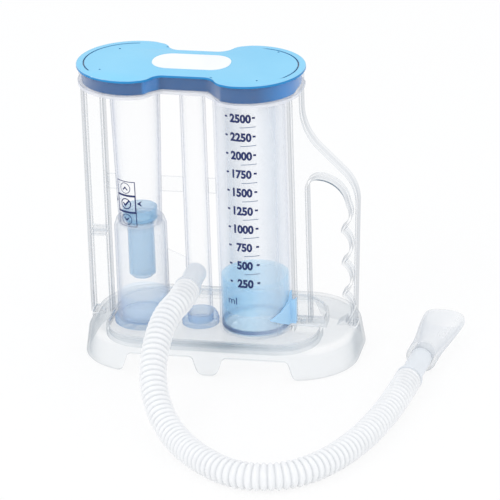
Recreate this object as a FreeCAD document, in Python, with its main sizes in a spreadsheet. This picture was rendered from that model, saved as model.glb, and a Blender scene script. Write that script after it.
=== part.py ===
import FreeCAD, Part
import math
import os
import Sketcher
from FreeCAD import Rotation, Vector

# Volumetric incentive spirometer with a flow cup, a volume piston and a breathing hose.
# Millimetres, +Z up, -Y towards the patient, origin on the floor under the middle of the part.

os.makedirs("parts", exist_ok=True)
doc = FreeCAD.newDocument("incentive_spirometer")
sheet = doc.addObject("Spreadsheet::Sheet", "Sizes")

SIZES = {
    # walls and fits of the clear mouldings
    "tube_wall": 1.5,
    "glue_gap": 0.1,
    "slide_gap": 0.3,
    "seal_gap": 0.06,
    # base tray
    "base_length": 213.0,
    "base_width": 121.0,
    "base_height": 23.5,
    "base_corner": 47.0,
    "base_draft": 3.0,
    "base_shoulder": 7.0,
    "base_wall": 2.0,
    "deck_height": 17.0,
    "recess_left": 87.6,
    "recess_right": 76.0,
    "recess_width": 95.0,
    "recess_corner": 30.0,
    "arch_height": 14.0,
    "arch_width": 50.0,
    "arch_slope": 5.0,
    "middle_foot": 24.0,
    "middle_foot_x": 2.3,
    "foot_round": 4.0,
    "boss_width": 16.0,
    "boss_end": 2.5,
    "peg_radius": 1.6,
    "peg_length": 4.0,
    "inlet_radius": 8.0,
    # lid and upper rim, both a dumbbell seen from above
    "lobe_radius": 43.3,
    "waist_width": 54.0,
    "neck_left": -43.5,
    "neck_right": 5.0,
    "neck_round": 5.0,
    "neck_corner": 6.0,
    "rim_bottom": 214.9,
    "rim_top": 228.4,
    "rim_inset": 1.5,
    "rim_wall": 2.0,
    "rim_floor": 2.0,
    "rim_band": 2.6,
    "rim_band_inset": 0.7,
    "lid_lip": 2.1,
    "lid_edge_round": 0.8,
    "piston_stop": 2.0,
    "cup_stop": 1.4,
    "plug_depth": 10.8,
    "plug_wall": 1.8,
    "groove_radius": 37.2,
    "groove_width": 0.9,
    "groove_depth": 0.7,
    "dimple_radius": 0.8,
    "dimple_depth": 0.8,
    "label_length": 60.0,
    "label_width": 31.0,
    "label_thickness": 0.3,
    "label_x": -19.5,
    "label_y": 2.5,
    # flow side
    "flow_x": -64.0,
    "flow_top_radius": 19.5,
    "flow_low_radius": 16.7,
    "flow_low_z": 99.0,
    "chamber_radius": 20.3,
    "chamber_overlap": 2.0,
    "shoulder_rise": 5.4,
    "shoulder_radius": 17.9,
    "seat_bore": 10.9,
    "seat_height": 2.4,
    "flow_cap_radius": 23.0,
    "flow_cap_flange": 4.4,
    "flow_cap_plug": 18.5,
    "filter_thickness": 4.0,
    "cup_radius": 10.3,
    "cup_head_radius": 13.4,
    "cup_head_height": 9.5,
    "cup_bottom": 54.0,
    "cup_wall": 1.0,
    # breathing tube
    "breath_x": -19.4,
    "breath_radius": 9.8,
    "breath_cap_radius": 14.5,
    "breath_cap_height": 9.0,
    "breath_cap_floor": 2.0,
    "port_height": 63.0,
    "port_radius": 7.1,
    "port_reach": 30.0,
    # volume cylinder, piston and scale pointer
    "volume_x": 24.6,
    "volume_radius": 28.0,
    "floor_thickness": 1.5,
    "vent_radius": 2.5,
    "vent_ring": 17.0,
    "piston_height": 41.7,
    "piston_floor": 15.0,
    "piston_wall": 1.2,
    "seal_lip": 1.2,
    "seal_height": 2.4,
    "seal_depth": 1.6,
    "pointer_rise": 19.5,
    "pointer_reach": 52.0,
    "pointer_wall": 1.6,
    "pointer_gap": 0.5,
    "pointer_fin": 6.0,
    "jaw_wall": 0.8,
    # side support, webs and handle
    "plate_wall": 2.0,
    "flange_width": 12.0,
    "support_left": -104.8,
    "support_right": -88.2,
    "support_rib_z": 89.8,
    "web_bottom": 125.2,
    "web_height": 12.3,
    "low_web_left": 77.2,
    "low_web_right": 70.8,
    "low_web_bottom": 28.0,
    "leg_left": 54.3,
    "leg_right": 68.4,
    "neck_x": 65.7,
    "handle_reach": 107.8,
    "slope_offset": 247.0,
    "flare_round": 45.0,
    "knuckle_round": 35.0,
    "foot_inset": 4.5,
    "hole_top": 142.5,
    "arch_flank": 9.9,
    "hole_corner": 8.0,
    "grip_width": 14.2,
    "scallop_radius": 14.5,
    "scallop_depth": 6.2,
    "scallop_foot": 11.9,
    "scallop_top": 115.2,
    "foot_flare": 5.0,
    # breathing hose, cuffs and mouthpiece
    "hose_radius": 10.4,
    "hose_wall": 1.0,
    "cuff_radius": 8.2,
    "cuff_wall": 1.0,
    "cuff_start": 10.4,
    "cuff_collar": 3.0,
    "mouth_cuff_length": 50.0,
    "mouth_socket": 14.0,
    "mouth_overlap": 12.0,
    "mouth_length": 74.0,
    "mouth_base_radius": 11.8,
    "mouth_half_width": 16.2,
    "mouth_half_height": 8.2,
    "mouth_wall": 1.5,
}

# places that follow from the sizes
DERIVED = {
    "chamber_top": "=flow_low_z - chamber_overlap",
    "grip_x": "=handle_reach - grip_width",
    "foot_x": "=handle_reach - foot_inset",
    "hole_arch": "=handle_reach - arch_flank - leg_right - hole_corner",
    "scallop_pitch": "=(scallop_top - base_height - scallop_foot) / 3",
}

for row, (alias, value) in enumerate({**SIZES, **DERIVED}.items(), start=1):
    sheet.set("A%d" % row, alias)
    sheet.set("B%d" % row, str(value))
    sheet.setAlias("B%d" % row, alias)
doc.recompute()


class Values:
    """Reads the driving sizes back from the sheet."""

    def __getattr__(self, alias):
        return float(getattr(sheet, alias))


size = Values()
pieces = []


def bind(obj, **formulas):
    """Tie properties of an object to formulas of the sheet's sizes."""
    for prop, formula in formulas.items():
        obj.setExpression(prop, formula)
    return obj


def put(obj, x="0", y="0", z="0"):
    """Tie an object's place to formulas."""
    obj.setExpression("Placement.Base.x", x)
    obj.setExpression("Placement.Base.y", y)
    obj.setExpression("Placement.Base.z", z)
    return obj


def piece(obj, label):
    """Name a finished piece and keep it for the export."""
    obj.Label = label
    pieces.append(obj)
    return obj


def cylinder(name, radius, height, x="0", y="0", z="0"):
    obj = doc.addObject("Part::Cylinder", name)
    bind(obj, Radius=radius, Height=height)
    return put(obj, x, y, z)


def cross_cylinder(name, radius, length, x, y, z):
    """A cylinder that runs along +Y from y."""
    obj = cylinder(name, radius, length)
    obj.Placement.Rotation = Rotation(Vector(1, 0, 0), -90)
    return put(obj, x, y, z)


def box(name, low, high):
    """A box between two corners, each given as three formulas."""
    obj = doc.addObject("Part::Box", name)
    sides = ["(%s) - (%s)" % (top, bottom) for bottom, top in zip(low, high)]
    bind(obj, Length=sides[0], Width=sides[1], Height=sides[2])
    return put(obj, *low)


def cone(name, low_radius, top_radius, height, x="0", y="0", z="0"):
    obj = doc.addObject("Part::Cone", name)
    bind(obj, Radius1=low_radius, Radius2=top_radius, Height=height)
    return put(obj, x, y, z)


def fuse(name, *shapes):
    obj = doc.addObject("Part::MultiFuse", name)
    obj.Shapes = list(shapes)
    return obj


def cut(name, base, *tools):
    obj = doc.addObject("Part::Cut", name)
    obj.Base = base
    obj.Tool = tools[0] if len(tools) == 1 else fuse(name + "_tools", *tools)
    return obj


def common(name, first, second):
    obj = doc.addObject("Part::Common", name)
    obj.Base = first
    obj.Tool = second
    return obj


def fillet(name, base, radius, chosen):
    """Round the edges of base for which chosen(edge) is true."""
    doc.recompute()
    obj = doc.addObject("Part::Fillet", name)
    obj.Base = base
    edges = base.Shape.Edges
    obj.Edges = [(i + 1, radius, radius) for i in range(len(edges)) if chosen(edges[i])]
    return obj


def upright(edge):
    """True for a straight edge along Z."""
    box_of_edge = edge.BoundBox
    return box_of_edge.XLength < 1e-4 and box_of_edge.YLength < 1e-4


def along_y(edge):
    """True for a straight edge along Y."""
    box_of_edge = edge.BoundBox
    return box_of_edge.XLength < 1e-4 and box_of_edge.ZLength < 1e-4


def at_height(z):
    """A test for edges that lie flat at one height."""
    return lambda edge: abs(edge.BoundBox.ZMin - z) < 1e-4 and abs(edge.BoundBox.ZMax - z) < 1e-4


def plane(body, role):
    """An origin plane of a body, by its role."""
    return next(f for f in body.Origin.OriginFeatures if f.Role == role)


def draw(sketch, corners):
    """Draw a closed outline of straight lines, each corner held by two formulas."""
    count = len(corners)
    for i in range(count):
        angles = [2 * math.pi * k / count for k in (i, i + 1)]
        ends = [Vector(60 + 40 * math.cos(a), 60 + 40 * math.sin(a), 0) for a in angles]
        sketch.addGeometry(Part.LineSegment(*ends), False)
    for i in range(count):
        sketch.addConstraint(Sketcher.Constraint("Coincident", i, 2, (i + 1) % count, 1))
    for i, (across, up) in enumerate(corners):
        for kind, axis, formula in (("DistanceX", -2, across), ("DistanceY", -1, up)):
            if formula == "0":
                sketch.addConstraint(Sketcher.Constraint("PointOnObject", i, 1, axis))
                continue
            index = sketch.addConstraint(Sketcher.Constraint(kind, -1, 1, i, 1, 60.0))
            sketch.setExpression("Constraints[%d]" % index, formula)


def body_sketch(name, role, corners):
    """A body with one sketch on an origin plane."""
    body = doc.addObject("PartDesign::Body", name)
    sketch = body.newObject("Sketcher::SketchObject", name + "_outline")
    sketch.AttachmentSupport = [(plane(body, role), "")]
    sketch.MapMode = "FlatFace"
    draw(sketch, corners)
    return body, sketch


def turned(name, corners, x="0", z="0"):
    """A body turned about its own Z axis from a half profile of (radius, height)."""
    body, sketch = body_sketch(name, "XZ_Plane", corners)
    turn = body.newObject("PartDesign::Revolution", name + "_turn")
    turn.Profile = sketch
    turn.ReferenceAxis = (sketch, ["V_Axis"])
    turn.Angle = 360.0
    put(body, x, "0", z)
    return body


def plate(name, corners, width):
    """A body padded both ways from the XZ plane."""
    body, sketch = body_sketch(name, "XZ_Plane", corners)
    pad = body.newObject("PartDesign::Pad", name + "_pad")
    pad.Profile = sketch
    pad.SideType = "Symmetric"
    bind(pad, Length=width)
    return body


def round_body(body, radius, chosen):
    """Round the chosen edges of a body's last feature."""
    doc.recompute()
    base = body.Tip
    names = ["Edge%d" % (i + 1) for i, e in enumerate(base.Shape.Edges) if chosen(e)]
    obj = body.newObject("PartDesign::Fillet", body.Name + "_round%d" % len(body.Group))
    obj.Base = (base, names)
    bind(obj, Radius=radius)
    return obj


def dumbbell(name, inset, low, high):
    """The lid's outline: two lobes and a waist, inset by a distance, between two heights."""
    radius = "Sizes.lobe_radius - (%s)" % inset
    half = "Sizes.waist_width / 2 - (%s)" % inset
    height = "(%s) - (%s)" % (high, low)
    left = cylinder(name + "_left", radius, height, "Sizes.flow_x", "0", low)
    right = cylinder(name + "_right", radius, height, "Sizes.volume_x", "0", low)
    waist = box(name + "_waist",
                ("Sizes.flow_x", "-(%s)" % half, low),
                ("Sizes.volume_x", half, high))
    joined = fuse(name + "_joined", left, right, waist)
    joined.Refine = True
    necks = []
    for side, near, far in (("front", "-Sizes.lobe_radius - 5", "-(%s)" % half),
                            ("back", half, "Sizes.lobe_radius + 5")):
        necks.append(box(name + "_neck_" + side,
                         ("Sizes.neck_left - (%s)" % inset, near, low + " - 1"),
                         ("Sizes.neck_right + (%s)" % inset, far, high + " + 1")))
    trimmed = cut(name + "_trimmed", joined, *necks)
    doc.recompute()
    inset_value = size.lobe_radius - left.Radius.Value
    half_value = size.waist_width / 2 - inset_value
    shoulders = fillet(name + "_shoulders", trimmed, size.neck_corner - inset_value,
                       lambda e: upright(e) and abs(e.BoundBox.YMin) > half_value + 1)
    return fillet(name, shoulders, size.neck_round + inset_value,
                  lambda e: upright(e) and abs(abs(e.BoundBox.YMin) - half_value) < 1e-3)


# base tray

def tray_block(name, inset, low, high, round_top):
    """A drafted rounded block in the base's outline, inset by a distance."""
    corner = "Sizes.base_corner - (%s)" % inset
    profiles = []
    for tag, level, lean in (("floor", low, "0"), ("top", high, "Sizes.base_draft")):
        half_x = "Sizes.base_length / 2 - (%s) - %s" % (inset, lean)
        half_y = "Sizes.base_width / 2 - (%s) - %s" % (inset, lean)
        profiles.append(rounded_outline(name + "_" + tag, half_x, half_y, corner, level))
    loft = doc.addObject("Part::Loft", name + "_loft")
    loft.Sections = profiles
    loft.Solid = True
    loft.Ruled = True
    doc.recompute()
    top = max(edge.BoundBox.ZMax for edge in loft.Shape.Edges)
    return fillet(name, loft, round_top, at_height(top))


def rounded_outline(name, half_x, half_y, corner, level):
    """A rounded rectangle sketch at one height, centred on the origin."""
    sketch = doc.addObject("Sketcher::SketchObject", name)
    put(sketch, "0", "0", level)
    guess_x, guess_y, guess_r = 100.0, 50.0, 30.0
    for turn in range(4):
        sx = (1, -1, -1, 1)[turn]
        sy = (1, 1, -1, -1)[turn]
        centre = Vector(sx * (guess_x - guess_r), sy * (guess_y - guess_r), 0)
        circle = Part.Circle(centre, Vector(0, 0, 1), guess_r)
        start = turn * math.pi / 2
        sketch.addGeometry(Part.ArcOfCircle(circle, start, start + math.pi / 2), False)
    for turn in range(4):
        start = sketch.Geometry[turn].EndPoint
        end = sketch.Geometry[(turn + 1) % 4].StartPoint
        sketch.addGeometry(Part.LineSegment(start, end), False)
    for turn in range(4):
        line = 4 + turn
        direction = "Horizontal" if turn % 2 == 0 else "Vertical"
        sketch.addConstraint([
            Sketcher.Constraint("Tangent", turn, 2, line, 1),
            Sketcher.Constraint("Tangent", line, 2, (turn + 1) % 4, 1),
            Sketcher.Constraint(direction, line),
        ])
        if turn:
            sketch.addConstraint(Sketcher.Constraint("Equal", 0, turn))
    radius = sketch.addConstraint(Sketcher.Constraint("Radius", 0, guess_r))
    sketch.setExpression("Constraints[%d]" % radius, corner)
    limits = (("DistanceX", 7, 1, half_x), ("DistanceX", 5, 1, "-(%s)" % half_x),
              ("DistanceY", 4, 1, half_y), ("DistanceY", 6, 1, "-(%s)" % half_y))
    for kind, line, end, formula in limits:
        value = {"DistanceX": guess_x, "DistanceY": guess_y}[kind]
        if formula.startswith("-"):
            value = -value
        index = sketch.addConstraint(Sketcher.Constraint(kind, -1, 1, line, end, value))
        sketch.setExpression("Constraints[%d]" % index, formula)
    return sketch


def recess_block(name, grow, low, high):
    """The sunk deck's outline with the handle's bridge left standing, grown by a distance."""
    half = "Sizes.recess_width / 2 + (%s)" % grow
    block = box(name + "_box",
                ("-Sizes.recess_left - (%s)" % grow, "-(%s)" % half, low),
                ("Sizes.recess_right + (%s)" % grow, half, high))
    grown = {"0": 0.0}.get(grow, size.base_wall)
    rounded = fillet(name + "_rounded", block, size.recess_corner + grown, upright)
    bridge_half = "Sizes.boss_width / 2 - (%s)" % grow
    bridge_left = "Sizes.volume_x + Sizes.volume_radius + Sizes.slide_gap * 2 + (%s)" % grow
    bridge = box(name + "_bridge",
                 (bridge_left, "-(%s)" % bridge_half, low),
                 ("Sizes.recess_right + 10", bridge_half, high))
    return cut(name, rounded, bridge)


def arch_cutter(name, centre):
    """The scallop between two feet, cut through both long sides."""
    half = "Sizes.arch_width / 2"
    corners = (("(%s) - %s" % (centre, half), "Sizes.arch_height"),
               ("(%s) + %s" % (centre, half), "Sizes.arch_height"),
               ("(%s) + %s + Sizes.arch_slope" % (centre, half), "-1"),
               ("(%s) - %s - Sizes.arch_slope" % (centre, half), "-1"))
    body = plate(name, corners, "Sizes.base_width + 10")
    top_edges = lambda e: along_y(e) and abs(e.BoundBox.ZMax - size.arch_height) < 1e-4
    round_body(body, "Sizes.foot_round", top_edges)
    return body


def base_tray():
    outer = tray_block("base_outer", "0", "0", "Sizes.base_height", size.base_shoulder)
    boss_half = "Sizes.boss_width / 2"
    bosses = []
    for side, sign in (("left", -1), ("right", 1)):
        inner = "%d * (Sizes.base_length / 2 - Sizes.base_shoulder * 3)" % sign
        end = "%d * (Sizes.base_length / 2 - Sizes.boss_end)" % sign
        low_x, high_x = (end, inner) if sign < 0 else (inner, end)
        boss = box("boss_" + side, (low_x, "-" + boss_half, "Sizes.arch_height"),
                   (high_x, boss_half, "Sizes.base_height"))
        bosses.append(fillet("boss_round_" + side, boss, size.base_shoulder / 3,
                             lambda e: upright(e) and e.BoundBox.XMax * sign > size.base_length / 2 - 5))
    block = fuse("base_block", outer, *bosses)
    recess = recess_block("recess", "0", "Sizes.deck_height", "Sizes.base_height + 1")
    inside = tray_block("base_inside", "Sizes.base_wall", "-0.5",
                        "Sizes.base_height - Sizes.base_wall", size.base_shoulder - 1.0)
    under = recess_block("under_deck", "Sizes.base_wall",
                         "Sizes.deck_height - Sizes.base_wall", "Sizes.base_height + 2")
    cavity = cut("base_cavity", inside, under)
    left_centre = "-Sizes.middle_foot_x - Sizes.middle_foot / 2 - Sizes.arch_width / 2"
    right_centre = "-Sizes.middle_foot_x + Sizes.middle_foot / 2 + Sizes.arch_width / 2"
    arches = [arch_cutter("arch_left", left_centre), arch_cutter("arch_right", right_centre)]
    holes = [cylinder("inlet_hole", "Sizes.inlet_radius", "Sizes.base_height",
                      "Sizes.flow_x", "0", "0"),
             cylinder("vent_hole", "Sizes.vent_ring + Sizes.vent_radius + 1",
                      "Sizes.base_height", "Sizes.volume_x", "0", "0")]
    for i, x in enumerate(peg_places()):
        holes.append(cylinder("socket%d" % i, "Sizes.peg_radius + Sizes.glue_gap",
                              "Sizes.peg_length * 2", x, "0", "Sizes.base_height - Sizes.peg_length"))
    return cut("base_tray", block, recess, cavity, *(arches + holes))


def peg_places():
    """Where the legs' pegs enter the base, as formulas along X."""
    return ("(Sizes.support_left + Sizes.support_right) / 2",
            "(Sizes.leg_left + Sizes.leg_right) / 2",
            "(Sizes.grip_x + Sizes.foot_x) / 2")


def peg(name, x):
    return cylinder(name, "Sizes.peg_radius", "Sizes.peg_length", x, "0",
                    "Sizes.base_height - Sizes.peg_length")


# lid and upper rim

def upper_rim():
    wall = dumbbell("rim_outside", "Sizes.rim_inset", "Sizes.rim_bottom", "Sizes.rim_top")
    band = dumbbell("rim_band", "Sizes.rim_band_inset", "Sizes.rim_bottom",
                    "Sizes.rim_bottom + Sizes.rim_band")
    inside = dumbbell("rim_inside", "Sizes.rim_inset + Sizes.rim_wall",
                      "Sizes.rim_bottom + Sizes.rim_floor", "Sizes.rim_top + 1")
    bores = []
    for name, x, radius in (("flow", "Sizes.flow_x", "Sizes.cup_head_radius - Sizes.cup_stop"),
                            ("breath", "Sizes.breath_x", "Sizes.breath_radius - Sizes.tube_wall"),
                            ("volume", "Sizes.volume_x",
                             "Sizes.volume_radius - Sizes.tube_wall - Sizes.piston_stop")):
        bores.append(cylinder("rim_bore_" + name, radius, "Sizes.rim_floor + 2",
                              x, "0", "Sizes.rim_bottom - 1"))
    return cut("upper_rim", fuse("rim_shell", wall, band), inside, *bores)


def lid_cover():
    top = "Sizes.rim_top + Sizes.lid_lip"
    lip = dumbbell("lid_lip_plate", "0", "Sizes.rim_top", top)
    lip_round = fillet("lid_plate", lip, size.lid_edge_round,
                       at_height(size.rim_top + size.lid_lip))
    plug_inset = "Sizes.rim_inset + Sizes.rim_wall + Sizes.glue_gap"
    plug_low = "Sizes.rim_top - Sizes.plug_depth"
    plug = dumbbell("plug_outside", plug_inset, plug_low, "Sizes.rim_top")
    hollow = dumbbell("plug_inside", plug_inset + " + Sizes.plug_wall",
                      plug_low + " - 1", "Sizes.rim_top")
    ring = cut("plug_ring", plug, hollow)
    floor = "Sizes.rim_top + Sizes.lid_lip - Sizes.groove_depth"
    tools = []
    for name, x, start, sweep in (("left", "Sizes.flow_x", 95.0, 125.0),
                                  ("right", "Sizes.volume_x", -35.0, 115.0)):
        rings = []
        for tag, radius in (("out", "Sizes.groove_radius + Sizes.groove_width"),
                            ("in", "Sizes.groove_radius")):
            ring_part = cylinder("groove_%s_%s" % (name, tag), radius, "Sizes.groove_depth + 1",
                                 x, "0", floor)
            ring_part.Placement.Rotation = Rotation(Vector(0, 0, 1), start)
            ring_part.Angle = sweep
            rings.append(ring_part)
        tools.append(cut("groove_" + name, rings[0], rings[1]))
    dimple_floor = "Sizes.rim_top + Sizes.lid_lip - Sizes.dimple_depth"
    dimples = (("Sizes.flow_x - 16", "24"), ("Sizes.flow_x - 21", "-21"),
               ("Sizes.volume_x + 17", "31"), ("Sizes.volume_x + 12.5", "-30"),
               ("Sizes.flow_x + 19", "32"), ("Sizes.volume_x - 19", "-28"))
    for i, (x, y) in enumerate(dimples):
        tools.append(cylinder("dimple%d" % i, "Sizes.dimple_radius", "Sizes.dimple_depth + 1",
                              x, y, dimple_floor))
    return cut("lid_cover", fuse("lid_body", lip_round, ring), *tools)


def lid_label():
    """A bare sticker with fully rounded ends on the lid's waist."""
    low = "Sizes.rim_top + Sizes.lid_lip"
    length, width = "Sizes.label_length / 2", "Sizes.label_width / 2"
    sticker = box("label_blank",
                  ("Sizes.label_x - " + length, "Sizes.label_y - " + width, low),
                  ("Sizes.label_x + " + length, "Sizes.label_y + " + width,
                   low + " + Sizes.label_thickness"))
    return fillet("lid_label", sticker, size.label_width * 0.46, upright)


# volume side

def tube(name, radius, wall, low, high, x):
    height = "(%s) - (%s)" % (high, low)
    outside = cylinder(name + "_outside", radius, height, x, "0", low)
    inside = cylinder(name + "_inside", "%s - %s" % (radius, wall), height + " + 2",
                      x, "0", low + " - 1")
    return cut(name, outside, inside)


def volume_cylinder():
    return tube("volume_cylinder", "Sizes.volume_radius", "Sizes.tube_wall",
                "Sizes.deck_height", "Sizes.rim_bottom", "Sizes.volume_x")


def cylinder_floor():
    """The vented disc that closes the cylinder's foot."""
    bore = "Sizes.volume_radius - Sizes.tube_wall"
    body = turned("cylinder_floor", (("0", "0"), (bore + " - Sizes.glue_gap", "0"),
                                     (bore + " - Sizes.glue_gap", "Sizes.floor_thickness"),
                                     ("0", "Sizes.floor_thickness")),
                  "Sizes.volume_x", "Sizes.deck_height")
    vent = body.newObject("Sketcher::SketchObject", "vent_outline")
    vent.AttachmentSupport = [(plane(body, "XY_Plane"), "")]
    vent.MapMode = "FlatFace"
    vent.addGeometry(Part.Circle(Vector(10, 0, 0), Vector(0, 0, 1), 2), False)
    vent.addConstraint(Sketcher.Constraint("PointOnObject", 0, 3, -1))
    across = vent.addConstraint(Sketcher.Constraint("DistanceX", -1, 1, 0, 3, 10.0))
    around = vent.addConstraint(Sketcher.Constraint("Radius", 0, 2.0))
    vent.setExpression("Constraints[%d]" % across, "Sizes.vent_ring")
    vent.setExpression("Constraints[%d]" % around, "Sizes.vent_radius")
    pocket = body.newObject("PartDesign::Pocket", "vent")
    pocket.Profile = vent
    pocket.Type = 1
    pocket.Midplane = True
    pattern = body.newObject("PartDesign::PolarPattern", "vents")
    pattern.Originals = [pocket]
    pattern.Axis = (plane(body, "Z_Axis"), [""])
    pattern.Angle = 360.0
    pattern.Occurrences = 6
    body.Tip = pattern
    return body


def volume_piston():
    """A light cup that slides in the cylinder, open at the top and hollow below."""
    bore = "Sizes.volume_radius - Sizes.tube_wall"
    outer = bore + " - Sizes.slide_gap"
    inner = outer + " - Sizes.piston_wall"
    step = outer + " - Sizes.seal_depth"
    skirt = step + " - Sizes.piston_wall"
    seal_top = "Sizes.seal_lip + Sizes.seal_height"
    corners = (("0", "Sizes.piston_floor"), (inner, "Sizes.piston_floor"),
               (inner, seal_top + " + Sizes.piston_wall"), (skirt, seal_top),
               (skirt, "0"), (outer + " - Sizes.slide_gap", "0"),
               (outer + " - Sizes.slide_gap", "Sizes.seal_lip"), (step, "Sizes.seal_lip"),
               (step, seal_top), (outer, seal_top), (outer, "Sizes.piston_height"),
               (inner, "Sizes.piston_height"), (inner, "Sizes.piston_floor + Sizes.piston_wall"),
               ("0", "Sizes.piston_floor + Sizes.piston_wall"))
    return turned("volume_piston", corners, "Sizes.volume_x", piston_seat())


def piston_seat():
    return "Sizes.deck_height + Sizes.floor_thickness + Sizes.slide_gap"


def piston_seal():
    bore = "Sizes.volume_radius - Sizes.tube_wall"
    outer = bore + " - Sizes.seal_gap"
    inner = bore + " - Sizes.slide_gap - Sizes.seal_depth"
    return turned("piston_seal", ((inner, "0"), (outer, "0"), (outer, "Sizes.seal_height"),
                                  (inner, "Sizes.seal_height")),
                  "Sizes.volume_x", piston_seat() + " + Sizes.seal_lip")


def pointer_slider():
    """A curved arrow clipped over the front edge of the rail, in front of the cylinder."""
    radius = "Sizes.volume_radius + Sizes.pointer_gap"
    low = "Sizes.base_height + Sizes.slide_gap"
    outer = cylinder("arrow_outside", radius + " + Sizes.pointer_wall",
                     "Sizes.pointer_rise + Sizes.pointer_fin", "Sizes.volume_x", "0", low)
    inner = cylinder("arrow_inside", radius, "Sizes.pointer_rise + Sizes.pointer_fin + 2",
                     "Sizes.volume_x", "0", low + " - 1")
    ring = cut("arrow_ring", outer, inner)
    # the arrow's outline seen square to its middle, cut from the ring
    half = size.pointer_reach / 2
    mask = doc.addObject("Part::Feature", "arrow_outline")
    chord = (size.volume_radius + size.pointer_gap) * math.sin(math.radians(half))
    rise = size.pointer_rise
    outline = [(-chord, rise * 0.42), (-chord * 0.2, rise * 0.68), (chord * 0.55, rise * 0.98),
               (chord * 0.78, rise + size.pointer_fin), (chord * 1.02, rise + size.pointer_fin),
               (chord * 1.02, 0), (chord * 0.4, 0)]
    points = [Vector(across, 0, up) for across, up in outline]
    face = Part.Face(Part.makePolygon(points + points[:1]))
    mask.Shape = face.extrude(Vector(0, -3 * size.volume_radius, 0))
    mask.Placement.Rotation = Rotation(Vector(0, 0, 1), 90 - half - 6.0)
    put(mask, "Sizes.volume_x", "0", low)
    arrow = common("arrow", ring, mask)
    # the clip's two jaws and the bridge in front of the rail
    front = "-Sizes.flange_width / 2"
    rail_out = "Sizes.leg_left + Sizes.plate_wall + Sizes.slide_gap"
    rail_in = "Sizes.leg_left - Sizes.slide_gap"
    clip = box("clip", (rail_in + " - Sizes.jaw_wall", front + " - 2.4", low),
               (rail_out + " + Sizes.jaw_wall", front + " + 3.0", low + " + Sizes.pointer_rise"))
    slot = box("clip_slot", (rail_in, front + " - Sizes.slide_gap", low + " - 1"),
               (rail_out, front + " + 4", low + " + Sizes.pointer_rise + Sizes.pointer_fin + 1"))
    room = cylinder("cylinder_room", radius, "Sizes.pointer_rise + 4", "Sizes.volume_x", "0",
                    low + " - 1")
    return cut("pointer_slider", fuse("pointer_blank", arrow, clip), slot, room)


# flow side

def flow_tube():
    """The tapered tube above the flow chamber, from the seat up into the rim."""
    height = "Sizes.rim_bottom - Sizes.flow_low_z"
    outside = cone("flow_outside", "Sizes.flow_low_radius", "Sizes.flow_top_radius", height,
                   "Sizes.flow_x", "0", "Sizes.flow_low_z")
    inside = cone("flow_inside", "Sizes.flow_low_radius - Sizes.tube_wall",
                  "Sizes.flow_top_radius - Sizes.tube_wall", height,
                  "Sizes.flow_x", "0", "Sizes.flow_low_z")
    return cut("flow_tube", outside, inside)


def flow_chamber():
    """The wide chamber with a sloped shoulder that holds the tapered tube."""
    foot = "Sizes.flow_cap_flange"
    top = "Sizes.chamber_top - Sizes.deck_height"
    lip = "Sizes.flow_low_z - Sizes.deck_height"
    inner = "Sizes.chamber_radius - Sizes.tube_wall"
    collar = "Sizes.flow_low_radius + 0.35"
    end = top + " + Sizes.shoulder_rise"
    corners = ((inner, foot), ("Sizes.chamber_radius", foot), ("Sizes.chamber_radius", top),
               ("Sizes.shoulder_radius + 0.6", end), (collar, end), (collar, lip),
               ("Sizes.seat_bore + 3", lip), ("Sizes.seat_bore + 3", lip + " - Sizes.tube_wall"),
               (inner, lip + " - Sizes.tube_wall - 1.2"))
    return turned("flow_chamber", corners, "Sizes.flow_x", "Sizes.deck_height")


def flow_seat():
    """The throat ring that the flow cup's head rests on."""
    rim = "Sizes.flow_low_radius - Sizes.tube_wall - Sizes.glue_gap"
    corners = (("Sizes.seat_bore", "0"), (rim, "0"), (rim, "Sizes.seat_height"),
               ("Sizes.seat_bore + 1", "Sizes.seat_height"),
               ("Sizes.seat_bore", "Sizes.seat_height - 1"))
    return turned("flow_seat", corners, "Sizes.flow_x", "Sizes.flow_low_z")


def flow_cup():
    """The float: a round-bottomed cup hanging through the throat from its wide head."""
    head_low = "Sizes.flow_low_z + Sizes.seat_height + Sizes.slide_gap - Sizes.cup_bottom"
    head_top = head_low + " + Sizes.cup_head_height"
    inner = "Sizes.cup_radius - Sizes.cup_wall"
    head_inner = "Sizes.cup_head_radius - Sizes.cup_wall"
    corners = (("0", "0"), ("Sizes.cup_radius - 2.5", "0"), ("Sizes.cup_radius", "2.5"),
               ("Sizes.cup_radius", head_low), ("Sizes.cup_head_radius - 0.6", head_low),
               ("Sizes.cup_head_radius", head_low + " + 0.8"), ("Sizes.cup_head_radius", head_top),
               (head_inner, head_top), (head_inner, head_low + " + Sizes.cup_wall"),
               (inner, head_low + " + Sizes.cup_wall"), (inner, "3"), ("0", "Sizes.cup_wall"))
    return turned("flow_cup", corners, "Sizes.flow_x", "Sizes.cup_bottom")


def flow_cap():
    """The push-in cap under the chamber, with a tall plug and an air inlet."""
    bore = "Sizes.chamber_radius - Sizes.tube_wall - Sizes.glue_gap"
    top = "Sizes.flow_cap_flange + Sizes.flow_cap_plug"
    inner = bore + " - Sizes.tube_wall"
    shelf = "Sizes.flow_cap_flange / 2"
    corners = (("Sizes.inlet_radius", "0"), ("Sizes.flow_cap_radius", "0"),
               ("Sizes.flow_cap_radius", "Sizes.flow_cap_flange - 1.4"),
               ("Sizes.flow_cap_radius - 1.2", "Sizes.flow_cap_flange"),
               (bore, "Sizes.flow_cap_flange"), (bore, top), (inner, top), (inner, shelf),
               ("Sizes.inlet_radius", shelf))
    return turned("flow_chamber_cap", corners, "Sizes.flow_x", "Sizes.deck_height")


def inlet_filter():
    """The open foam disc that the drawn air passes through."""
    rim = "Sizes.chamber_radius - 2 * Sizes.tube_wall - 2 * Sizes.glue_gap"
    low = "Sizes.deck_height + Sizes.flow_cap_flange / 2"
    corners = (("0", "0"), (rim, "0"), (rim, "Sizes.filter_thickness"),
               ("0", "Sizes.filter_thickness"))
    return turned("inlet_filter", corners, "Sizes.flow_x", low)


# breathing tube

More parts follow.
